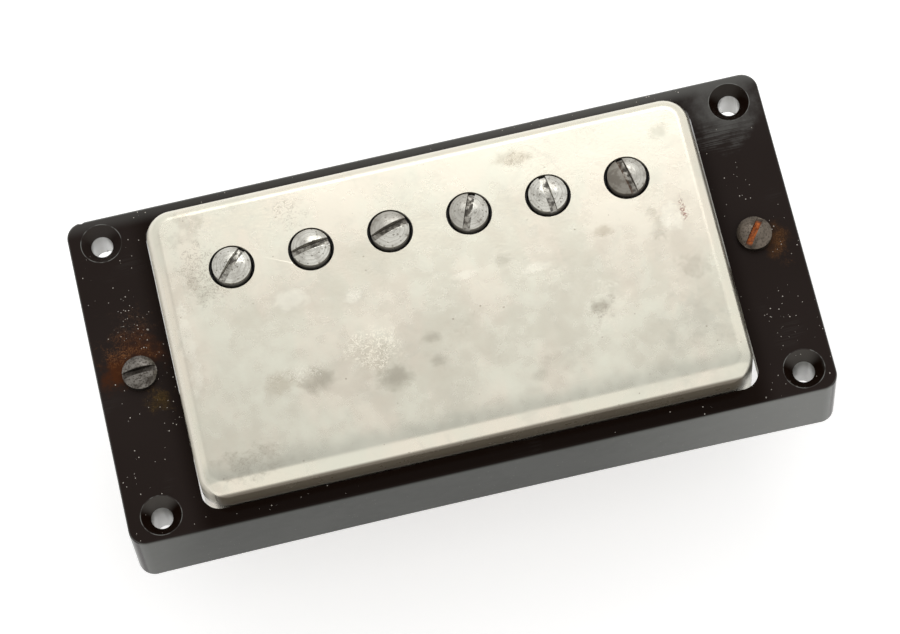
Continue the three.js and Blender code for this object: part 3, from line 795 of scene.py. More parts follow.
        # Painted reflection: the near and right walls above the ring darkened olive as if mirroring the black
        # ring, and made less metallic.
        film = (facing_y.ramp(-0.8, -0.95) | facing_x.ramp(0.8, 0.95)) * proud
        colour = graph.coats(
            self.plate,
            (clouds * 0.65, self.green),
            (bands * 0.5, self.pink),
            (dull * 0.5, self.grey),
            # Painted shade band inside the near bend.
            (self.shaded_rim(graph, y) * 0.8, self.rim_shade),
            *((stain.mask(graph), stain.colour) for stain in self.stains),
            *((patch.mask(graph) * pits, patch.colour) for patch in self.pitted),
            (lone * 0.5, self.pit),
            (graph.scratches(12, 0.4) * 0.2, self.pale),
            (chalk_and_highlight, self.oxide_and_highlight),
            (film, graph.mix(facing_x.ramp(0.5, 0.9), self.reflected_ring, self.reflected_ring_end)),
        )
        waves = graph.bump(graph.noise(graph.place, 0.09, 1), 0.08)
        return {
            "Base Color": colour,
            "Metallic": 1.0 - (chalk_and_highlight | film * 0.7),
            "Roughness": (dull * 0.4 + clouds).ramp(0.0, 1.4, 0.22, 0.36),
            "Normal": graph.bump(graph.noise(graph.place, 2.4, 4, 0.6), 0.006, waves),
        }

    def shaded_rim(self, graph: Surface, y: Wire) -> Wire:
        """A painted shade band just inside the bend of the near edge, wavy on its inner side."""
        wavy = y + (graph.noise(graph.place, 0.25, 3) - 0.5) * 3.0
        return wavy.ramp(-self.flat_y, 3.0 - self.flat_y, 1.0, 0.0) * y.ramp(-self.flat_y - 0.45, -self.flat_y)


@dataclass(frozen=True)
class RingPlastic(Finish):
    """Black moulded plastic: glossy, dusty and scuffed, with rust washed off the height screws, and with
    painted reflections and highlights on its walls, edges, bores, far bar and far right corner.
    """

    ior: float = 1.14
    black: Colour = (0.0085, 0.0042, 0.0026)
    arm: Colour = (0.0220, 0.0155, 0.0135)
    # Painted reflection: a grey for the black outside walls as if mirroring the floor, and a paler grey for
    # painted highlights and reflections.
    reflected_wall_grey: Colour = (0.074, 0.076, 0.070)
    reflected_highlight_grey: Colour = (0.190, 0.193, 0.182)
    # Grey of handling haze on the scuffs, and of painted sheen and painted highlights on the far bar, the far
    # right corner and the end edges.
    haze_and_sheen: Colour = (0.105, 0.103, 0.097)
    dust: Colour = (0.72, 0.67, 0.60)
    rust: Colour = (0.066, 0.020, 0.006)
    # Painted reflection: pale and darker grey for the bores of the black ring.
    bore: Colour = (0.66, 0.66, 0.65)
    bore_dark: Colour = (0.26, 0.255, 0.235)
    sink_lit: Colour = (0.098, 0.089, 0.080)
    top_z: float = RING_TOP * PER_MM
    hole_x: float = SCREW_HOLE_X * PER_MM
    hole_y: float = SCREW_HOLE_Y * PER_MM
    holes_off: float = NEAR_HOLES_OFF * PER_MM
    hole_radius: float = 1.35
    sink_radius: float = 2.55
    half_length: float = 44.68
    half_width: float = 21.9
    stains: tuple[Stain, ...] = (
        Stain(-41.8, 0.6, 3.0, 2.8, rust, 0.95, 0.4),
        Stain(-38.8, 3.0, 4.4, 4.0, rust, 0.6, 0.4, 1.0),
        Stain(-37.4, -4.0, 2.0, 1.6, (0.05, 0.03, 0.008), 0.6, 0.5, 0.9),
        Stain(41.4, -1.2, 2.4, 3.2, (0.064, 0.028, 0.010), 0.75, 0.5, 1.0),
        # Painted sheen and handling haze by the far right hole.
        Stain(39.8, 18.2, 6.2, 6.0, haze_and_sheen, 1.0, 0.2, 1.0),
    )
    flaked: tuple[Stain, ...] = (
        Stain(-40.4, 3.4, 4.2, 2.4, (0.30, 0.13, 0.05), 0.5, 0.8, 1.0),
        Stain(-38.9, 6.8, 3.6, 3.2, (0.10, 0.055, 0.032), 0.5, 0.8, 1.0),
        Stain(-37.6, -3.6, 2.0, 2.6, (0.14, 0.085, 0.03), 0.5, 0.8, 1.0),
        Stain(42.0, -1.8, 1.6, 3.2, (0.20, 0.09, 0.035), 0.45, 0.7, 0.9),
    )
    dusty: tuple[Stain, ...] = (
        Stain(-39.0, 7.6, 3.6, 6.5, dust, 1.0, 0.5, 0.9),
        Stain(-38.6, 2.0, 3.0, 3.4, dust, 1.0, 0.5, 0.9),
        Stain(-36.6, -6.4, 2.2, 3.4, dust, 0.8, 0.5, 0.9),
        Stain(38.4, 6.0, 3.0, 4.4, dust, 0.5, 0.5, 0.9),
        Stain(39.8, -12.2, 3.6, 4.4, dust, 0.9, 0.5, 0.9),
        Stain(37.4, -20.6, 6.0, 2.0, dust, 0.6, 0.5, 0.9),
        Stain(41.6, 0.4, 2.4, 3.2, dust, 0.6, 0.5, 0.9),
    )
    hatched: Stain = Stain(38.6, 14.6, 5.0, 3.4, haze_and_sheen, 1.0)

    def paint(self, graph: Surface) -> Inputs:
        """Builds the nodes of the finish.

        Args:
            graph: The material's tree.

        Returns:
            What feeds each of the shader's sockets.
        """
        x, y, z = graph.place.axes()
        size_x, size_y, _ = abs(graph.place).axes()
        _, facing_y, facing_z = graph.facing()
        top = facing_z.ramp(0.35, 0.9)
        arm = size_x.ramp(34.0, 37.5, 0.0, graph.noise(graph.place, 0.06, 1).ramp(0.3, 0.7, 0.75, 1.0))
        flakes = graph.effect(EFFECTS.crackle, scale=2.6)
        # Painted sheen: the far bar greyed as if mirroring the bright far side, more so towards the right.
        far_sheen = y.ramp(19.6, 21.6) * x.ramp(-44.0, 40.0, 0.5, 1.0)
        long_side = size_y.ramp(self.half_width - 0.5, self.half_width - 0.2)
        end = size_x.ramp(self.half_length - 0.5, self.half_length - 0.2)
        scuffs = self.scuffs(graph)
        hole = self.from_hole(graph, y)
        patchy = graph.noise(graph.place, 0.7, 3).ramp(0.4, 0.6, 0.1, 0.9)
        # Painted glint on the outer rim of each countersink, patchy.
        sink_rim_glint = abs(hole - (self.sink_radius + 0.02)).ramp(0.02, 0.08, 1.0, 0.0) * patchy
        cone = hole.ramp(self.sink_radius - 0.05, self.sink_radius - 0.01, 1.0, 0.0)
        near = y.ramp(-0.1, 0.1, 1.0, 0.0)
        far_left = x.ramp(-0.1, 0.1, 1.0, 0.0) * (1.0 - near)
        lit = cone * facing_y.ramp(-0.2, -0.7, 0.0, near.ramp(0.0, 1.0, 0.35, 0.8))
        # Painted highlight along the rounded top edges at the ends.
        end_edge_highlight = (top * (1.0 - top) * size_x.ramp(43.0, 44.0, 0.0, 3.0)).clamped()
        # Painted highlight on rounded top edges that face the far side, outside the countersinks.
        far_edge_highlight = facing_y.ramp(0.05, 0.8) * top * (1.0 - cone)
        # Painted reflection: the bores are pale grey and partly metallic so that they show the floor, darker
        # towards the top and more so in the near holes.
        bored = hole.ramp(self.hole_radius + 0.02, self.hole_radius + 0.05, 1.0, 0.0)
        shallow = z.ramp(self.top_z - 4.2, self.top_z - 1.6, 0.0, near.ramp(0.0, 1.0, 0.35, 0.85))
        specks = self.specks(graph) * top.ramp(0.0, 1.0, 0.12, 0.8) * (1.0 - bored)
        colour = graph.coats(
            self.black,
            (arm, self.arm),
            *((stain.mask(graph), stain.colour) for stain in self.stains),
            *((patch.mask(graph) * flakes, patch.colour) for patch in self.flaked),
            (far_sheen, self.haze_and_sheen),
            # Painted reflection on the outside walls.
            ((long_side | end) * (1.0 - top), self.painted_wall_reflection(graph, x, facing_y)),
            (scuffs * 0.5, self.haze_and_sheen),
            (sink_rim_glint, self.reflected_highlight_grey),
            (cone, graph.mix(far_left, self.black, self.arm)),
            (lit, self.sink_lit),
            (end_edge_highlight, self.haze_and_sheen),
            (far_edge_highlight, self.reflected_highlight_grey),
            (bored, graph.mix(shallow, self.bore, self.bore_dark)),
            (specks, self.dust),
        )
        film = graph.noise(graph.place, 0.1, 1).ramp(0.35, 0.75, 0.12, 0.16)
        return {
            "Base Color": colour,
            "Metallic": bored * 0.75,
            "Roughness": (film + (scuffs | bored) * 0.15 + specks * 0.5).clamped(),
            "Normal": graph.bump(graph.noise(graph.place, 0.08, 1) - scuffs * 0.3, 0.004),
        }

    def painted_wall_reflection(self, graph: Surface, x: Wire, facing_y: Wire) -> Wire:
        """The satin grey of the outside walls, a painted reflection of the floor, paler towards the ends of the
        near one.

        Args:
            graph: The material's tree.
            x: The place along the ring.
            facing_y: The normal's Y.

        Returns:
            The colour.
        """
        ends = (x.ramp(8.0, 46.0) | x.ramp(-34.0, -46.0, 0.0, 0.6)) * facing_y.ramp(-0.2, -0.5)
        clouds = graph.effect(EFFECTS.mottle, scale=0.12).ramp(0.0, 1.0, 0.0, 0.08)
        return graph.mix((ends + clouds).clamped(), self.reflected_wall_grey, self.reflected_highlight_grey)

    def scuffs(self, graph: Surface) -> Wire:
        """Hatched scratches beside the far right hole and a few elsewhere."""
        few = graph.noise(graph.place, 0.12, 2).ramp(0.6, 0.7, 0.0, 0.12)
        return (graph.scratches(-32, 1.0) | graph.scratches(28, 0.9)) * (self.hatched.mask(graph) | few)

    def specks(self, graph: Surface) -> Wire:
        """Dust in fine grains and short threads, thick in places.

        Args:
            graph: The material's tree.

        Returns:
            The dust's mask.
        """
        thick = graph.noise(graph.place, 0.15, 2).ramp(0.4, 0.7, 0.0, 0.4)
        for spot in self.dusty:
            thick = thick | spot.mask(graph)
        grains = graph.effect(EFFECTS.specks, scale=3.2, size=0.17, share=thick.ramp(0.0, 1.0, 0.015, 0.45))
        coarse = graph.effect(EFFECTS.specks, scale=1.3, size=0.07, share=thick.ramp(0.0, 1.0, 0.03, 0.32))
        curled = graph.place + graph.noise(graph.place, 0.8, 2, 0.5).out("Color")
        drawn = graph.stretch(curled, (0.8, 4.2, 1), (0, 0, math.radians(55)))
        thready = thick.ramp(0.3, 1.0, 0.0, 0.22)
        threads = graph.effect(EFFECTS.specks, drawn, scale=1.0, size=0.22, share=thready)
        return grains | coarse | threads * 0.5

    def from_hole(self, graph: Surface, y: Wire) -> Wire:
        """The distance from the axis of the nearest corner hole.

        Args:
            graph: The material's tree.
            y: The place across the ring.

        Returns:
            The distance.
        """
        near = y.ramp(-0.1, 0.1, self.holes_off, 0.0)
        off = graph.node("ShaderNodeCombineXYZ", {0: near, 1: near * -1.0})
        away = abs(graph.place - off) - (self.hole_x, self.hole_y, 0)
        return (away * (1, 1, 0)).length()


@dataclass(frozen=True)
class ScrewSteel(Finish):
    """Worn slotted screw: turning marks, pits, grime or rust in the slot, and painted shade on the slot's floor
    and walls and on the head's side.
    """

    metallic: float = 1.0
    bright: Colour = (0.72, 0.71, 0.65)
    dark: Colour = (0.22, 0.20, 0.17)
    # Dark of grime in the slot and on the shank, also painted shade on the head's side and the slot's walls.
    grime_and_shade: Colour = (0.035, 0.025, 0.018)
    brown: Colour = (0.34, 0.17, 0.09)
    rust: Colour = (0.92, 0.21, 0.014)
    old_rust: Colour = (0.40, 0.085, 0.012)
    radius: float = 2.425
    patched: float = 0.45
    pitting: float = 0.15
    slot_dirt: float = 0.2
    # Strength of the painted shade on the head's side.
    side_shade: float = 0.7
    slot_rust: float = 0.0
    roughness: float = 0.2
    head_low: float = -0.78
    head_high: float = -0.72

    def paint(self, graph: Surface) -> Inputs:
        """Builds the nodes of the finish.

        Args:
            graph: The material's tree.

        Returns:
            What feeds each of the shader's sockets.
        """
        centred = graph.stretch(self.written(graph, "from_axis", "Vector"), (PER_MM,) * 3)
        _, across, height = centred.axes()
        *_, facing_z = graph.facing()
        tone = self.written(graph, "tone", "Fac") * across.ramp(-0.4, 0.4, 0.35, 1.0)
        radius = (centred * (1, 1, 0)).length()
        uneven = radius + graph.noise(graph.place, 0.8, 3) * 0.5
        rings = graph.noise(graph.node("ShaderNodeCombineXYZ", {0: uneven}), 5.5, 2)
        patches = graph.noise(graph.place, 0.7, 5, 0.65).ramp(0.42, 0.7) * self.patched
        patches = (patches + tone).clamped()
        pits = graph.effect(EFFECTS.specks, scale=4.2, size=0.5, share=self.pitting)
        ragged = graph.noise(graph.place, 1.6, 4).ramp(0.35, 0.62)
        low = height.ramp(-0.3, 0.03, 1.0, 0.0)
        side = radius.ramp(self.radius - 0.2, self.radius - 0.04)
        slot = (1.0 - side) * height.ramp(self.head_low, self.head_high, 0.0, low)
        on_shank = height.ramp(self.head_low, self.head_high, low, 0.0) * ragged * 0.3
        # Painted shade on the slot's upright walls.
        slot_walls = abs(facing_z).ramp(0.3, 0.75, 0.85, 0.0)
        slot_grime_and_shade = slot * (slot_walls | (ragged + (self.slot_dirt - 0.5)).clamped())
        # Painted shade on the head's side below its rim, with grime in the slot and on the shank.
        dirt_and_shade = slot_grime_and_shade | side * low * self.side_shade | on_shank
        rusty = radius.ramp(self.radius * 0.6, self.radius * 0.85, self.slot_rust, 0.0) * slot
        crumbs = graph.noise(graph.place, 4.0, 3).ramp(0.35, 0.6)
        fouled = dirt_and_shade | rusty
        colour = graph.coats(
            self.bright,
            (patches, self.dark),
            (rings.ramp(0.45, 0.62, 0.0, 0.35), self.dark),
            (pits * 0.7, self.dark),
            # Painted shade: the slot's floor darker than the head.
            (slot * 0.4, self.dark),
            (dirt_and_shade, self.grime_and_shade),
            (tone.ramp(0.5, 0.8, 0.0, 0.3) * slot * ragged, self.brown),
            (rusty, graph.mix(crumbs, self.old_rust, self.rust)),
        )
        return {
            "Base Color": colour,
            "Metallic": fouled.ramp(0.3, 0.9, 1.0, 0.0),
            "Roughness": (patches + fouled).ramp(0.0, 1.6, self.roughness, 0.8),
            "Normal": graph.bump(rings * 0.5 - pits * 0.5, 0.02),
        }

    @staticmethod
    def written(graph: Surface, name: str, output: str) -> Wire:
        """What the piece writes in an attribute of its points."""
        kind = {"attribute_name": name, "attribute_type": "GEOMETRY"}
        return graph.node("ShaderNodeAttribute", output=output, **kind)


@dataclass(frozen=True)
class PlainMetal(Finish):
    """Bare or plated metal with grain, tarnish and rubbed edges."""

    metallic: float = 1.0
    light: Colour = (0.6, 0.58, 0.54)
    tarnish: Colour = (0.3, 0.27, 0.22)
    cover: float = 0.5
    grain: Colour = (0.3, 3.0, 1.0)
    rough_low: float = 0.28
    rough_high: float = 0.5
    pitting: float = 0.12
    depth: float = 0.008

    def paint(self, graph: Surface) -> Inputs:
        """Builds the nodes of the finish.

        Args:
            graph: The material's tree.

        Returns:
            What feeds each of the shader's sockets.
        """
        clouds = graph.effect(EFFECTS.mottle, scale=0.25)
        lines = graph.noise(graph.stretch(graph.place, self.grain), 1.0, 3)
        pits = graph.effect(EFFECTS.specks, scale=2.2, size=0.3, share=self.pitting)
        colour = graph.coats(
            self.light,
            (clouds * self.cover, self.tarnish),
            (lines.ramp(0.4, 0.7, 0.0, 0.25), self.tarnish),
            (pits * 0.6, self.tarnish),
            (graph.effect(EFFECTS.edge_wear, amount=0.7), self.light),
        )
        return {
            "Base Color": colour,
            "Roughness": clouds.ramp(0.0, 1.0, self.rough_low, self.rough_high),
            "Normal": graph.bump(lines - pits * 0.5, self.depth),
        }


@dataclass(frozen=True)
class MouldedPlastic(Finish):
    """Plain moulded plastic with a fine skin and a little dust."""

    ior: float = 1.4
    base: Colour = (0.012, 0.011, 0.010)
    dust: Colour = (0.10, 0.09, 0.08)

    def paint(self, graph: Surface) -> Inputs:
        """Builds the nodes of the finish.

        Args:
            graph: The material's tree.

        Returns:
            What feeds each of the shader's sockets.
        """
        film = graph.effect(EFFECTS.mottle, scale=0.3)
        specks = graph.effect(EFFECTS.specks, scale=2.4, size=0.2, share=0.1)
        return {
            "Base Color": graph.coats(self.base, (film * 0.12, self.dust), (specks, self.dust)),
            "Roughness": film.ramp(0.0, 1.0, 0.26, 0.46),
            "Normal": graph.bump(graph.noise(graph.place, 4.0, 2), 0.006),
        }


@dataclass(frozen=True)
class Fibre(Finish):
    """Layered or fibrous stuff: wood, paper tape or wound wire, by its grain."""

    light: Colour = (0.5, 0.35, 0.2)
    dark: Colour = (0.28, 0.17, 0.08)
    grain: Colour = (0.15, 2.5, 2.5)
    roughness: float = 0.6
    depth: float = 0.03

    def paint(self, graph: Surface) -> Inputs:
        """Builds the nodes of the finish.

        Args:
            graph: The material's tree.

        Returns:
            What feeds each of the shader's sockets.
        """
        fibres = graph.noise(graph.stretch(graph.place, self.grain), 1.0, 5, 0.6, 0.4)
        clouds = graph.effect(EFFECTS.mottle, scale=0.18) * 0.3
        return {
            "Base Color": graph.coats(self.light, (fibres.ramp(0.35, 0.65), self.dark), (clouds, self.dark)),
            "Roughness": fibres.ramp(0.2, 0.8, self.roughness - 0.1, self.roughness + 0.15),
            "Normal": graph.bump(fibres, self.depth),
        }


@dataclass
class Ring:
    """The mounting ring: a moulded plastic frame with a sloping seat and end pockets below."""

    length: float = 89.36 * MM
    width: float = 43.8 * MM
    top: float = RING_TOP
    near_height: float = 11.0 * MM
    far_height: float = 5.0 * MM
    seat_arch: float = 1.05 * MM
    seat_sides: int = 1200
    corner: float = 2.1 * MM
    corner_steps: int = 12
    edge_round: float = 0.4 * MM
    edge_steps: int = 6
    plate: float = 2.2 * MM
    end_wall: float = 2.1 * MM
    opening_low: Vector = Vector((-35.0, -19.6, 0)) * MM
    opening_high: Vector = Vector((35.3, 19.75, 0)) * MM
    hollow_width: float = 39.5 * MM
    opening_corner: float = 2.35 * MM
    screw_hole: float = 2.7 * MM
    sink: float = 5.1 * MM
    sink_depth: float = 1.3 * MM
    post: float = 6.2 * MM
    near_post_depth: float = 8.0 * MM
    far_post_depth: float = 5.7 * MM
    height_screw_hole: float = 3.1 * MM
    chip_place: Vector = Vector((-42.55, 22.0, 7.75)) * MM
    chip_size: float = 0.42 * MM
    chip_scale: tuple[float, float, float] = (1.1, 1.0, 1.5)
    easing: float = 0.13 * MM
    clearance: float = 5 * MM

    def build(self) -> list[Piece]:
        """Models the ring.

        Returns:
            The ring.
        """
        shell = box(self.length, self.width, self.top - 2 * self.near_height, self.top)
        ring = Block("mounting_ring_shell", *shell, self.corner, self.corner_steps)
        ring.round_edges(lies_at(self.top), self.edge_round, self.edge_steps)
        ring.take(self.opening(), self.hollow())
        for x, y in self.screw_places():
            depth = self.far_post_depth if y > 0 else self.near_post_depth
            post = Drum("post", self.post / 2, self.top - depth, self.top - self.plate / 2, (x, y))
            ring.take(post, work=Work.ADD)
        ring.take(*self.holes(), self.seat(), self.chip())
        ring.clean()
        ring.ease(self.easing)
        ring.smooth()
        ring.level_normals()
        return self.dress(ring)

    def screw_places(self) -> list[tuple[float, float]]:
        """X and Y of the four corner screws, the near ones a little off as moulded."""
        far = [(x, SCREW_HOLE_Y) for x in (-SCREW_HOLE_X, SCREW_HOLE_X)]
        return far + [(x + NEAR_HOLES_OFF, -y - NEAR_HOLES_OFF) for x, y in far]

    def seat(self) -> Piece:
        """The cutter below the arched and sloping surface on which the ring sits.

        Returns:
            A wide drum lying along the ring's width.
        """
        radius = ((self.length / 2) ** 2 + self.seat_arch**2) / (2 * self.seat_arch)
        seat = Drum("seat", radius, -self.width, self.width, sides=self.seat_sides)
        lay = Matrix.Translation((0, 0, -radius)) @ Matrix.Rotation(QUARTER, 4, "X")
        slope = math.atan2(self.near_height - self.far_height, self.width)
        seat.move(Matrix.Rotation(slope, 4, "X") @ lay)
        return seat

    def opening(self) -> Piece:
        """The cutter for the opening, which stands closer to the cover at the left and the near side.

        Returns:
            A block through the top plate.
        """
        bottom, top = self.top - self.plate - self.clearance, self.top + self.clearance
        low, high = self.opening_low + Vector((0, 0, bottom)), self.opening_high + Vector((0, 0, top))
        return Block("opening", low, high, self.opening_corner)

    def hollow(self) -> Piece:
        """The cutter for the hollow below the top plate.

        Returns:
            A block inside the walls.
        """
        length, bottom = self.length - 2 * self.end_wall, self.top - 2 * self.near_height - self.clearance
        inside = box(length, self.hollow_width, bottom, self.top - self.plate)
        return Block("hollow", *inside, self.opening_corner)

    def holes(self) -> list[Piece]:
        """The cutters for the screw holes, straight and countersunk.

        Returns:
            The cutters.
        """
        below, above = -2 * self.near_height, self.top + self.clearance
        sink_bottom, bore = self.top - self.sink_depth, self.screw_hole / 2
        made = []
        for place in self.screw_places():
            made.append(Drum("screw_hole", bore, below, above, place))
            made.append(Drum("sink", bore, sink_bottom, self.top, place, top_radius=self.sink / 2))
        for x in (-HEIGHT_SCREW_X, HEIGHT_SCREW_X):
            made.append(Drum("height_hole", self.height_screw_hole / 2, below, above, (x, 0)))
        return made

    def chip(self) -> Piece:
        """The cutter for the chip in the far edge."""
        place = {"radius": self.chip_size, "location": self.chip_place, "scale": self.chip_scale}
        return Piece("chip", bpy.ops.mesh.primitive_ico_sphere_add, subdivisions=2, **place)

    def dress(self, ring: Piece) -> list[Piece]:
        """Gives the ring its finish and its place in the frame."""
        ring.dress(RingPlastic("ring_plastic"))
        return [ring.install("mounting_ring", "ring_plastic", "ring")]


@dataclass
class Cover:
    """The drawn sheet cover with its row of pole screw holes."""

    length: float = 69.7 * MM
    width: float = 38.8 * MM
    top: float = RING_TOP + 4.3 * MM
    bottom: float = RING_TOP - 12.7 * MM
    sheet: float = 0.6 * MM
    corner: float = 3.4 * MM
    corner_steps: int = 16
    bend: float = 1.8 * MM
    bend_steps: int = 10
    hole: float = 5.73 * MM
    easing: float = 0.12 * MM

    def build(self) -> list[Piece]:
        """Models the cover.

        Returns:
            The cover.
        """
        shell = box(self.length, self.width, self.bottom, self.top)
        cover = Block("nickel_cover", *shell, self.corner, self.corner_steps)
        cover.round_edges(lies_at(self.top), self.bend, self.bend_steps)
        with cover.editing(lies_at(self.bottom)):
            bpy.ops.mesh.delete(type="FACE")
        cover.clean(close=False)
        cover.change("SOLIDIFY", thickness=self.sheet, offset=-1, use_even_offset=True)
        ceiling, above = self.top - 2 * self.sheet, self.top + self.sheet
        for index in range(POLES):
            cover.take(Drum("pole_hole", self.hole / 2, ceiling, above, (pole_x(index), ROW_Y)))
        cover.ease(self.easing)
        cover.smooth()
        cover.level_normals()
        return self.dress(cover)

    def dress(self, cover: Piece) -> list[Piece]:
        """Gives the cover its finish and its place in the frame."""
        cover.dress(CoverNickel("cover_nickel"))
        return [cover.install("cover", "cover_nickel", "pickup")]


@dataclass(frozen=True)
class ScrewShape:
    """Sizes of a slotted round-head screw, and the model of it with its head's underside at zero."""

    head: float
    rim: float
    dome: float
    shank: float
    root: float
    length: float
    pitch: float
    slot_width: float
    slot_depth: float
    slot_round: float = 0.05 * MM
    slot_angle: float = 60
    dome_steps: int = 7
    dome_share: float = 0.9
    tip: float = 0.7
    ridge: float = 0.56
    thread_steps: int = 20

    def build(self, name: str) -> Piece:
        """Models the screw, pointing down.

        Args:
            name: The piece's name.

        Returns:
            The screw.
        """
        screw = Drum(name, self.head / 2, 0, self.rim)
        self.crown(screw)
        self.draw_shank(screw)
        top = self.rim + self.dome
        screw.take(Block("slot", *box(2 * self.head, self.slot_width, top - self.slot_depth, 2 * top)))
        screw.clean()
        screw.ease(self.slot_round, angle=self.slot_angle)
        screw.join(self.thread())
        screw.smooth()
        screw.mark_axis(self.rim)
        return screw

    def crown(self, screw: Piece) -> None:
        """Raises the head's top face into a dome, ring by ring.

        Args:
            screw: The screw's head.
        """
        radius = self.head / 2
        ball = (radius**2 + self.dome**2) / (2 * self.dome)
        opening = math.asin(radius / ball)
        with screw.editing(lies_at(self.rim)):
            for step in range(self.dome_steps):
                here = opening * (1 - step / self.dome_steps)
                after = opening * (1 - (step + self.dome_share) / self.dome_steps)
                inwards = ball * (math.sin(here) - math.sin(after))
                upwards = ball * (math.cos(after) - math.cos(here))
                bpy.ops.mesh.inset(thickness=inwards, depth=upwards)

    def draw_shank(self, screw: Piece) -> None:
        """Draws the shank's core out of the head's underside, with a tapered tip.

        Args:
            screw: The screw's head.
        """
        taper = self.shank / 4
        with screw.editing(lies_at(0)):
            bpy.ops.mesh.inset(thickness=(self.head - self.root) / 2)
            for drop, narrow in ((self.length - taper, 0), (taper, taper * self.tip)):
                bpy.ops.mesh.extrude_region_move(TRANSFORM_OT_translate={"value": (0, 0, -drop)})
                if narrow:
                    bpy.ops.mesh.inset(thickness=narrow)

    def thread(self) -> Piece:
        """Winds the thread's ridge round the core.

        Returns:
            The ridge.
        """
        start = {"location": (self.root / 2, 0, -self.shank / 4), "rotation": (QUARTER, QUARTER, 0)}
        triangle = {"vertices": 3, "radius": self.pitch * self.ridge, **start}
        ridge = Piece("thread", bpy.ops.mesh.primitive_circle_add, **triangle)
        crest = max(vertex.co.x for vertex in ridge.object.data.vertices)
        with ridge.editing():
            bpy.ops.transform.translate(value=(self.shank / 2 - crest, 0, 0))
        turns = int((self.length - self.shank / 2) / self.pitch)
        ridge.wind(self.thread_steps, self.pitch, times=turns)
        ridge.clean()
        return ridge


@dataclass
class PoleScrews:
    """The six adjustable pole screws, each turned its own way."""

    shape: ScrewShape = ScrewShape(
        head=4.85 * MM,
        rim=1.6 * MM,
        dome=0.65 * MM,
        shank=3.1 * MM,
        root=2.6 * MM,
        length=19.05 * MM,
        pitch=0.635 * MM,
        slot_width=0.9 * MM,
        slot_depth=1.15 * MM,
    )
    underside: float = RING_TOP + 3.3 * MM
    slot_angles: tuple[float, ...] = (47.5, 9, 16.5, 69, 96, 101.5)
    tones: tuple[float, ...] = (0.05, 0.1, 0.45, 0.4, 0.0, 0.85)

    def build(self) -> list[Piece]:
        """Models one screw and dresses a copy of it in each place."""
        return self.dress(self.shape.build("pole_screw_pattern"))

    def dress(self, pattern: Piece) -> list[Piece]:
        """Copies the pattern, which is used up, with its finish and each screw's own tone.

        Args:
            pattern: The screw.

        Returns:
            The screws.
        """
        pattern.dress(ScrewSteel("pole_screw_steel"))
        made = []
        for index, (angle, tone) in enumerate(zip(self.slot_angles, self.tones)):
            node = f"pole_screw_{index + 1}"
            place = Matrix.Translation((pole_x(index), ROW_Y, self.underside))
            piece = pattern.copied(f"slotted_{node}", place @ turned(angle))
            piece.mark_tone(tone)
            made.append(piece.install(node, "pole_screw_steel", node))
        pattern.remove()
        return made


@dataclass
class HeightScrews:
    """The two height screws, one in each end of the ring."""

    shape: ScrewShape = ScrewShape(
        head=4.4 * MM,
        rim=0.8 * MM,
        dome=0.8 * MM,
        shank=2.5 * MM,
        root=2.08 * MM,
        length=31.75 * MM,
        pitch=0.529 * MM,
        slot_width=0.8 * MM,
        slot_depth=0.95 * MM,
    )
    underside: float = RING_TOP
    left_angle: float = 3.0
    right_angle: float = 53.5
    left_steel: ScrewSteel = ScrewSteel(
        "height_screw_steel_left",
        bright=(0.22, 0.205, 0.185),
        dark=(0.050, 0.042, 0.035),
        radius=2.2,
        patched=0.8,
        pitting=0.8,
        slot_dirt=0.9,
        side_shade=0.2,
        roughness=0.36,
    )
    right_steel: ScrewSteel = ScrewSteel(
        "height_screw_steel_right",
        bright=(0.17, 0.142, 0.115),
        dark=(0.075, 0.062, 0.050),
        radius=2.2,
        patched=0.9,
        pitting=0.6,
        slot_dirt=0.8,
        side_shade=0.2,
        slot_rust=1.0,
        roughness=0.4,
    )

    def build(self) -> list[Piece]:
        """Models one screw and dresses a copy of it at each end."""
        return self.dress(self.shape.build("height_screw_pattern"))

    def dress(self, pattern: Piece) -> list[Piece]:
        """Copies the pattern, which is used up, and gives each screw its own steel.

        Args:
            pattern: The screw.

        Returns:
            The screws.
        """
        angles, steels = (self.left_angle, self.right_angle), (self.left_steel, self.right_steel)
        made = []
        for side, angle, steel in zip(Side, angles, steels):
            node = f"height_screw_{side.name.lower()}"
            place = Matrix.Translation((side.value * HEIGHT_SCREW_X, 0, self.underside))
            piece = pattern.copied(f"slotted_{node}", place @ turned(angle))
            piece.dress(steel)
            made.append(piece.install(node, "height_screw_steel", node))
        pattern.remove()
        return made


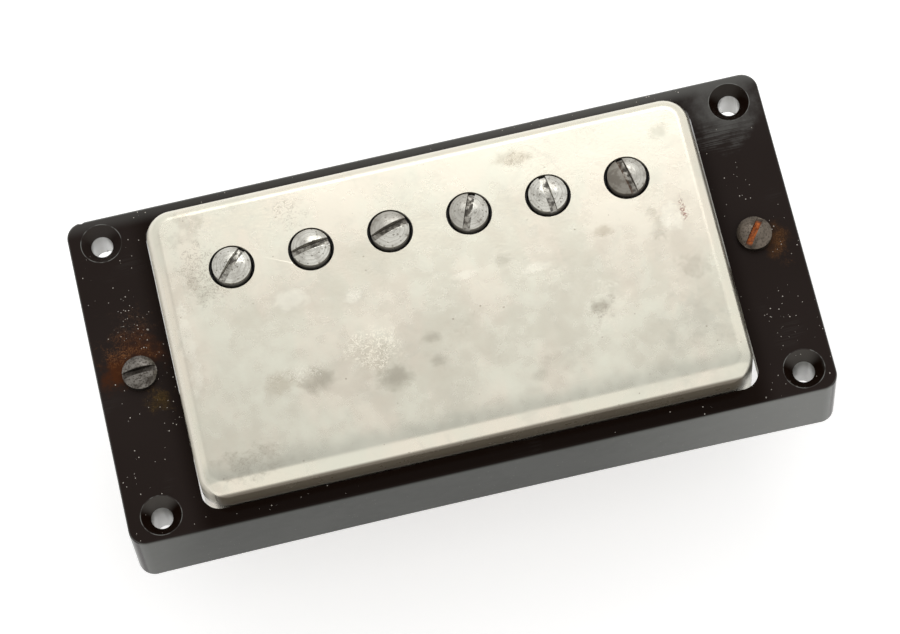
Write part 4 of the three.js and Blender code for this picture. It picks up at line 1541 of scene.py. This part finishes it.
@dataclass
class HeightSprings:
    """The springs between the ring's end plates and the feet, wound with closed end coils."""

    top: float = RING_TOP - 2.25 * MM
    bottom: float = RING_TOP - 24.3 * MM
    radius: float = 2.275 * MM
    wire: float = 0.325 * MM
    end_turns: float = 1.25
    middle_turns: float = 11.5
    end_pitch: float = 0.67 * MM
    steps_per_turn: int = 28
    wire_sides: int = 10
    steel: PlainMetal = PlainMetal(
        "spring_steel", light=(0.52, 0.50, 0.47), tarnish=(0.24, 0.19, 0.14), grain=(1.0, 1.0, 1.0), pitting=0.3
    )

    def build(self) -> list[Piece]:
        """Winds one spring and dresses a copy of it at each end.

        Returns:
            The springs.
        """
        end = (self.end_turns, self.end_turns * self.end_pitch)
        middle = (self.middle_turns, self.top - self.bottom - 2 * self.wire - 2 * end[1])
        height, wound, stretches = self.top - self.wire, 0.0, []
        for turns, drop in (end, middle, end):
            stretches.append(self.stretch(turns, drop, height, wound))
            height, wound = height - drop, wound + turns
        spring, *rest = stretches
        spring.join(*rest)
        spring.clean()
        spring.smooth()
        return self.dress(spring)

    def stretch(self, turns: float, drop: float, height: float, wound: float) -> Piece:
        """Winds one stretch of wire.

        Args:
            turns: The number of turns.
            drop: How far the stretch goes down.
            height: Where it starts.
            wound: The turns wound before it.

        Returns:
            The stretch.
        """
        start = {"location": (self.radius, 0, height), "rotation": (QUARTER, 0, 0)}
        circle = {"vertices": self.wire_sides, "radius": self.wire, **start}
        piece = Piece("spring_stretch", bpy.ops.mesh.primitive_circle_add, **circle)
        piece.wind(round(turns * self.steps_per_turn), drop, turns * WHOLE)
        piece.move(Matrix.Rotation(wound * WHOLE, 4, "Z"))
        return piece

    def dress(self, pattern: Piece) -> list[Piece]:
        """Copies the pattern, which is used up, to each end, where each spring runs from the ring to the foot.

        Args:
            pattern: The spring.

        Returns:
            The springs.
        """
        pattern.dress(self.steel)
        made = []
        for side in Side:
            node, x = f"height_spring_{side.name.lower()}", side.value * HEIGHT_SCREW_X
            piece = pattern.copied(f"wound_{node}", Matrix.Translation((x, 0, 0)))
            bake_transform(piece.object)
            made.append(piece.install(node, "spring_steel"))
        pattern.remove()
        return made


@dataclass
class Baseplate:
    """The sheet baseplate with its two folded legs, tapped feet and holes."""

    length: float = 68.3 * MM
    width: float = 37.4 * MM
    top: float = RING_TOP - 11.25 * MM
    sheet: float = 1.0 * MM
    corner: float = 2.7 * MM
    leg_width: float = 17 * MM
    foot_width: float = 9 * MM
    foot_top: float = RING_TOP - 24.35 * MM
    foot_steps: int = 12
    bend: float = 1.2 * MM
    bend_steps: int = 8
    tapped_hole: float = 2.7 * MM
    pole_hole: float = 4.0 * MM
    small_hole: float = 2.3 * MM
    small_sides: int = 32
    hole_sides: int = 48
    lead_hole: float = 5.0 * MM
    lead_place: tuple[float, float] = (27.65 * MM, -12.2 * MM)
    easing: float = 0.1 * MM
    metal: PlainMetal = PlainMetal(
        "baseplate_metal",
        light=(0.56, 0.52, 0.43),
        tarnish=(0.30, 0.25, 0.17),
        grain=(0.15, 2.0, 1.0),
        rough_low=0.3,
        rough_high=0.46,
    )

    def build(self) -> list[Piece]:
        """Models the baseplate.

        Returns:
            The baseplate.
        """
        sheet = box(self.length, self.width, self.top - self.sheet, self.top)
        plate = Block("formed_baseplate", *sheet, self.corner)
        right = self.leg()
        plate.take(right, right.copied("left_leg", turned(180)), work=Work.ADD)
        plate.take(*self.cutters())
        plate.clean()
        plate.ease(self.easing)
        plate.smooth()
        return self.dress(plate)

    def leg(self) -> Piece:
        """The right leg: drawn down with a taper, spun through the bend and drawn out to a round foot.

        Returns:
            The leg.
        """
        outer, bottom = self.length / 2, self.top - self.sheet
        shoulder, foot_end = self.foot_top + self.bend, HEIGHT_SCREW_X + self.foot_width / 2
        start = Vector((outer - self.sheet, -self.leg_width / 2, bottom))
        leg = Block("right_leg", start, Vector((outer, self.leg_width / 2, self.top - self.sheet / 4)))
        down, out = (0, 0, shoulder - bottom), (foot_end - outer - self.bend, 0, 0)
        taper, centre = (1, self.foot_width / self.leg_width, 1), (outer + self.bend, 0, shoulder)
        with leg.editing(lies_at(bottom)):
            bpy.ops.mesh.extrude_region_move(TRANSFORM_OT_translate={"value": down})
            bpy.ops.transform.resize(value=taper, center_override=(outer, 0, shoulder))
            bpy.ops.mesh.spin(steps=self.bend_steps, angle=-QUARTER, center=centre, axis=(0, 1, 0))
            bpy.ops.mesh.extrude_region_move(TRANSFORM_OT_translate={"value": out})
        leg.clean()
        leg.round_edges(ends_at(foot_end), self.foot_width / 2 - self.easing, self.foot_steps)
        return leg

    def cutters(self) -> list[Piece]:
        """The holes: poles, bobbin screws, the lead and the tapped feet.

        Returns:
            The cutters.
        """
        low, high = self.top - 3 * self.sheet, self.top + self.sheet
        foot_low, foot_high = self.foot_top - 2 * self.sheet, self.foot_top + self.sheet
        made = [Drum("lead", self.lead_hole / 2, low, high, self.lead_place, self.hole_sides)]
        for index in range(POLES):
            made.append(Drum("pole", self.pole_hole / 2, low, high, (pole_x(index), ROW_Y), self.hole_sides))
        for x in (-BOBBIN_SCREW_X, BOBBIN_SCREW_X):
            for y in (-ROW_Y, ROW_Y):
                made.append(Drum("small", self.small_hole / 2, low, high, (x, y), self.small_sides))
        for x in (-HEIGHT_SCREW_X, HEIGHT_SCREW_X):
            made.append(Drum("tapped", self.tapped_hole / 2, foot_low, foot_high, (x, 0), self.hole_sides))
        return made

    def dress(self, plate: Piece) -> list[Piece]:
        """Gives the baseplate its finish and its place in the frame."""
        plate.dress(self.metal)
        return [plate.install("baseplate", "baseplate_metal", "pickup")]


@dataclass
class BobbinScrews:
    """The four brass screws below the baseplate."""

    shape: ScrewShape = ScrewShape(
        head=3.6 * MM,
        rim=0.4 * MM,
        dome=0.8 * MM,
        shank=2.1 * MM,
        root=1.75 * MM,
        length=7.4 * MM,
        pitch=0.5 * MM,
        slot_width=0.6 * MM,
        slot_depth=0.7 * MM,
        thread_steps=16,
    )
    plate_bottom: float = RING_TOP - 12.25 * MM
    slot_angles: tuple[float, ...] = (20, 65, 110, 155)
    brass: ScrewSteel = ScrewSteel(
        "brass", bright=(0.56, 0.42, 0.20), dark=(0.30, 0.20, 0.09), grime_and_shade=(0.05, 0.035, 0.02), radius=1.8
    )

    def build(self) -> list[Piece]:
        """Models one screw and dresses a copy of it in each place."""
        return self.dress(self.shape.build("bobbin_screw_pattern"))

    def dress(self, pattern: Piece) -> list[Piece]:
        """Copies the pattern, which is used up, into each place, head down.

        Args:
            pattern: The screw.

        Returns:
            The screws.
        """
        pattern.dress(self.brass)
        places = [(x, y) for y in (ROW_Y, -ROW_Y) for x in (-BOBBIN_SCREW_X, BOBBIN_SCREW_X)]
        made = []
        for number, ((x, y), angle) in enumerate(zip(places, self.slot_angles), 1):
            place = Matrix.Translation((x, y, self.plate_bottom)) @ Matrix.Rotation(HALF, 4, "X")
            piece = pattern.copied(f"brass_screw_{number}", place @ turned(angle))
            made.append(piece.install(f"bobbin_screw_{number}", "brass", "pickup"))
        pattern.remove()
        return made


@dataclass
class SolderJoints:
    """The two beads of solder between the cover and the baseplate."""

    y: float = 18.0 * MM
    z: float = RING_TOP - 12.27 * MM
    reach: Vector = Vector((4.5, 0.78, 0.42)) * MM
    segments: int = 40
    ring_count: int = 20
    uneven: float = 0.07 * MM
    smooth_angle: float = math.radians(80)
    tin: PlainMetal = PlainMetal(
        "solder", light=(0.55, 0.55, 0.54), tarnish=(0.34, 0.34, 0.33), grain=(0.6, 0.6, 0.6), depth=0.02
    )

    def build(self) -> list[Piece]:
        """Models one bead and dresses a copy of it on each side.

        Returns:
            The beads.
        """
        place = {"radius": 1, "location": (0, self.y, self.z), "scale": self.reach}
        ball = {"segments": self.segments, "ring_count": self.ring_count, **place}
        bead = Piece("solder_pattern", bpy.ops.mesh.primitive_uv_sphere_add, **ball)
        with bead.editing():
            bpy.ops.transform.vertex_random(offset=self.uneven, normal=0.5, seed=4)
            bpy.ops.mesh.vertices_smooth(factor=0.6, repeat=2)
        bead.smooth(self.smooth_angle)
        return self.dress(bead)

    def dress(self, pattern: Piece) -> list[Piece]:
        """Copies the pattern, which is used up, to both sides.

        Args:
            pattern: The bead.

        Returns:
            The beads.
        """
        pattern.dress(self.tin)
        made = []
        for name, degrees in (("far", 0), ("near", 180)):
            piece = pattern.copied(f"solder_bead_{name}", turned(degrees))
            made.append(piece.install(f"solder_joint_{name}", "solder", "pickup"))
        pattern.remove()
        return made


@dataclass
class Coils:
    """The two windings, layer on layer of fine wire."""

    length: float = 64.2 * MM
    width: float = 14.9 * MM
    core_length: float = 57.06 * MM
    core_width: float = 6.66 * MM
    bottom: float = RING_TOP - 6.75 * MM
    top: float = RING_TOP + 2.05 * MM
    layers: int = 32
    layer_round: float = 0.3
    end_steps: int = 12
    wire: Fibre = Fibre(
        "coil_wire", light=(0.30, 0.075, 0.03), dark=(0.12, 0.03, 0.012), grain=(0.1, 0.1, 9.0), roughness=0.35
    )

    def build(self) -> list[Piece]:
        """Winds one coil and dresses a copy of it on each bobbin.

        Returns:
            The coils.
        """
        step = (self.top - self.bottom) / self.layers
        coil = self.oval("coil_pattern", self.length, self.width, self.bottom, self.bottom + step)
        core_low, core_high = self.bottom - step, self.bottom + 2 * step
        coil.take(self.oval("core", self.core_length, self.core_width, core_low, core_high))
        coil.ease(step * self.layer_round, 1)
        offset = {"use_constant_offset": True, "constant_offset_displace": (0, 0, step)}
        coil.change("ARRAY", count=self.layers, use_relative_offset=False, **offset)
        coil.smooth()
        return self.dress(coil)

    def oval(self, name: str, length: float, width: float, bottom: float, top: float) -> Piece:
        """A block with round ends, by its name, sizes and heights."""
        return Block(name, *box(length, width, bottom, top), width / 2 - WELD, self.end_steps)

    def dress(self, pattern: Piece) -> list[Piece]:
        """Copies the pattern, which is used up, onto both bobbins.

        Args:
            pattern: The coil.

        Returns:
            The coils.
        """
        pattern.dress(self.wire)
        made = []
        for node, y in (("screw_coil", ROW_Y), ("slug_coil", -ROW_Y)):
            piece = pattern.copied(f"wound_{node}", Matrix.Translation((0, y, 0)))
            made.append(piece.install(node, "coil_wire", "pickup"))
        pattern.remove()
        return made


@dataclass(frozen=True)
class Inside:
    """The pieces under the cover that keep their solids and get their finishes."""

    plastic: Finish = MouldedPlastic("bobbin_plastic")
    tape: Finish = Fibre(
        "coil_tape", light=(0.020, 0.018, 0.017), dark=(0.008, 0.007, 0.007), grain=(0.6, 0.6, 3.0)
    )
    wood: Finish = Fibre("spacer_wood")
    slug: Finish = PlainMetal("slug_steel", light=(0.5, 0.49, 0.47), tarnish=(0.3, 0.28, 0.25))
    keeper: Finish = PlainMetal("keeper_steel", light=(0.34, 0.33, 0.31), tarnish=(0.17, 0.14, 0.11), cover=0.8)
    magnet: Finish = PlainMetal(
        "magnet_alloy",
        light=(0.22, 0.21, 0.19),
        tarnish=(0.10, 0.09, 0.08),
        pitting=0.5,
        rough_low=0.5,
        rough_high=0.75,
    )

    def dress(self) -> list[str]:
        """Gives each kept node its material.

        Returns:
            The names of the nodes.
        """
        plan = {
            self.plastic: ["screw_bobbin", "slug_bobbin"],
            self.tape: ["screw_coil_tape", "slug_coil_tape"],
            self.wood: ["wood_spacer"],
            self.slug: [f"pole_slug_{index + 1}" for index in range(POLES)],
            self.keeper: ["keeper_bar"],
            self.magnet: ["bar_magnet"],
        }
        for finish, names in plan.items():
            material = finish.build()
            for name in names:
                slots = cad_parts[name].data.materials
                slots.clear()
                slots.append(material)
        return [name for names in plan.values() for name in names]


@dataclass
class Studio:
    """The floor, the soft light and the camera."""

    floor_z: float = RING_TOP - 31.85 * MM
    floor_reach: float = 4.0
    floor_shade: float = 0.93
    floor_lift: float = 0.43
    mirrored_lift: float = 0.6
    sky: Colour = (1.0, 0.995, 0.985)
    sky_light: float = 0.80
    overhead: float = 0.66
    above: tuple[float, ...] = (0.75, 0.9)
    beyond: tuple[float, ...] = (0.05, 0.3)
    leftwards: tuple[float, ...] = (-0.15, -0.45, 0.0, 0.4)
    panel_place: Vector = Vector((68, 202, 240)) * MM
    panel_size: tuple[float, float] = (200 * MM, 180 * MM)
    panel_turn: float = -6.4
    panel_watts: float = 0.162
    camera_aim: Vector = Vector((-0.133, -1.669, 8.0)) * MM
    camera_distance: float = 539.06 * MM
    camera_azimuth: float = 6.352
    camera_elevation: float = 68.649
    camera_roll: float = -6.871
    camera_clip: tuple[float, float] = (10 * MM, 100.0)
    lens: float = 173.372
    sensor: float = 36.0

    def build(self) -> None:
        """Sets up the whole studio."""
        bpy.context.scene.view_settings.view_transform = "Standard"
        self.make_world()
        self.make_floor()
        self.make_panel()
        self.make_camera()

    @staticmethod
    def rays(graph: Graph) -> tuple[Wire, ...]:
        """Where the camera's, mirrored and transmitted rays look."""
        path = graph.node("ShaderNodeLightPath")
        return tuple(path.out(f"Is {kind} Ray") for kind in ("Camera", "Glossy", "Transmission"))

    def make_world(self) -> None:
        """A white surround for the camera and softer light, dimmer in the flat faces' reflections."""
        world = bpy.data.worlds.new("studio")
        bpy.context.scene.world = world
        world.use_nodes = True
        graph = Graph(world.node_tree)
        camera, mirrored, transmitted = self.rays(graph)
        seen = {"Value": camera | mirrored | transmitted, "To Min": self.sky_light, "To Max": 1.0}
        x, y, z = graph.node("ShaderNodeTexCoord", output="Generated").axes()
        shade = z.ramp(*self.above) * y.ramp(*self.beyond) | x.ramp(*self.leftwards)
        dimmed = {"Value": mirrored, "To Min": 1.0, "To Max": shade.ramp(0.0, 1.0, 1.0, self.overhead)}
        strength = graph.node("ShaderNodeMapRange", seen) * graph.node("ShaderNodeMapRange", dimmed)
        background = world.node_tree.nodes["Background"].inputs
        graph.feed(background["Color"], self.sky)
        graph.feed(background["Strength"], strength)

    def make_floor(self) -> None:
        """A pale floor that shows white to the camera and keeps the shadow."""
        place = {"size": self.floor_reach, "location": (0, 0, self.floor_z)}
        floor = Piece("floor", bpy.ops.mesh.primitive_plane_add, **place)
        material = bpy.data.materials.new("pale_floor")
        material.use_nodes = True
        nodes, graph = material.node_tree.nodes, Graph(material.node_tree)
        nodes.remove(nodes["Principled BSDF"])
        camera, mirrored, transmitted = self.rays(graph)
        lift = (camera | transmitted | mirrored * self.mirrored_lift) * self.floor_lift
        paper = graph.node("ShaderNodeBsdfDiffuse", {"Color": (self.floor_shade,) * 3})
        glow = graph.node("ShaderNodeEmission", {"Color": (1.0, 1.0, 1.0), "Strength": lift})
        both = graph.node("ShaderNodeAddShader", {0: paper, 1: glow})
        graph.feed(nodes["Material Output"].inputs["Surface"], both)
        floor.object.data.materials.append(material)

    def make_panel(self) -> None:
        """A large soft light behind and above the pickup."""
        light = bpy.data.lights.new("soft_panel", "AREA")
        light.shape = "RECTANGLE"
        light.size, light.size_y = self.panel_size
        light.energy = self.panel_watts
        panel = bpy.data.objects.new("soft_panel", light)
        panel.location = self.panel_place
        panel.rotation_euler = (0, 0, math.radians(self.panel_turn))
        bpy.context.scene.collection.objects.link(panel)

    def make_camera(self) -> None:
        """The camera at the photograph's angle."""
        lens = bpy.data.cameras.new("camera")
        lens.lens, lens.sensor_width = self.lens, self.sensor
        lens.clip_start, lens.clip_end = self.camera_clip
        camera = bpy.data.objects.new("camera", lens)
        azimuth, elevation = math.radians(self.camera_azimuth), math.radians(self.camera_elevation)
        along, down = math.cos(elevation), -math.sin(elevation)
        ahead = Vector((math.sin(azimuth) * along, math.cos(azimuth) * along, down))
        camera.location = self.camera_aim - ahead * self.camera_distance
        camera.rotation_mode = "QUATERNION"
        roll = Matrix.Rotation(math.radians(self.camera_roll), 3, "Z").to_quaternion()
        camera.rotation_quaternion = ahead.to_track_quat("-Z", "Y") @ roll
        bpy.context.scene.collection.objects.link(camera)
        bpy.context.scene.camera = camera


def main() -> None:
    """Builds the studio and every sub-assembly."""
    logging.basicConfig(level=logging.INFO, format="%(name)s: %(message)s")
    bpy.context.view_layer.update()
    Studio().build()
    above = (Ring(), Cover(), PoleScrews(), HeightScrews(), HeightSprings())
    below = (Baseplate(), BobbinScrews(), SolderJoints(), Coils())
    for assembly in above + below:
        for piece in assembly.build():
            LOG.info("%s: %d faces", piece.object.name, len(piece.object.data.polygons))
    LOG.info("dressed as they are: %s", ", ".join(Inside().dress()))


if __name__ == "__main__":
    main()
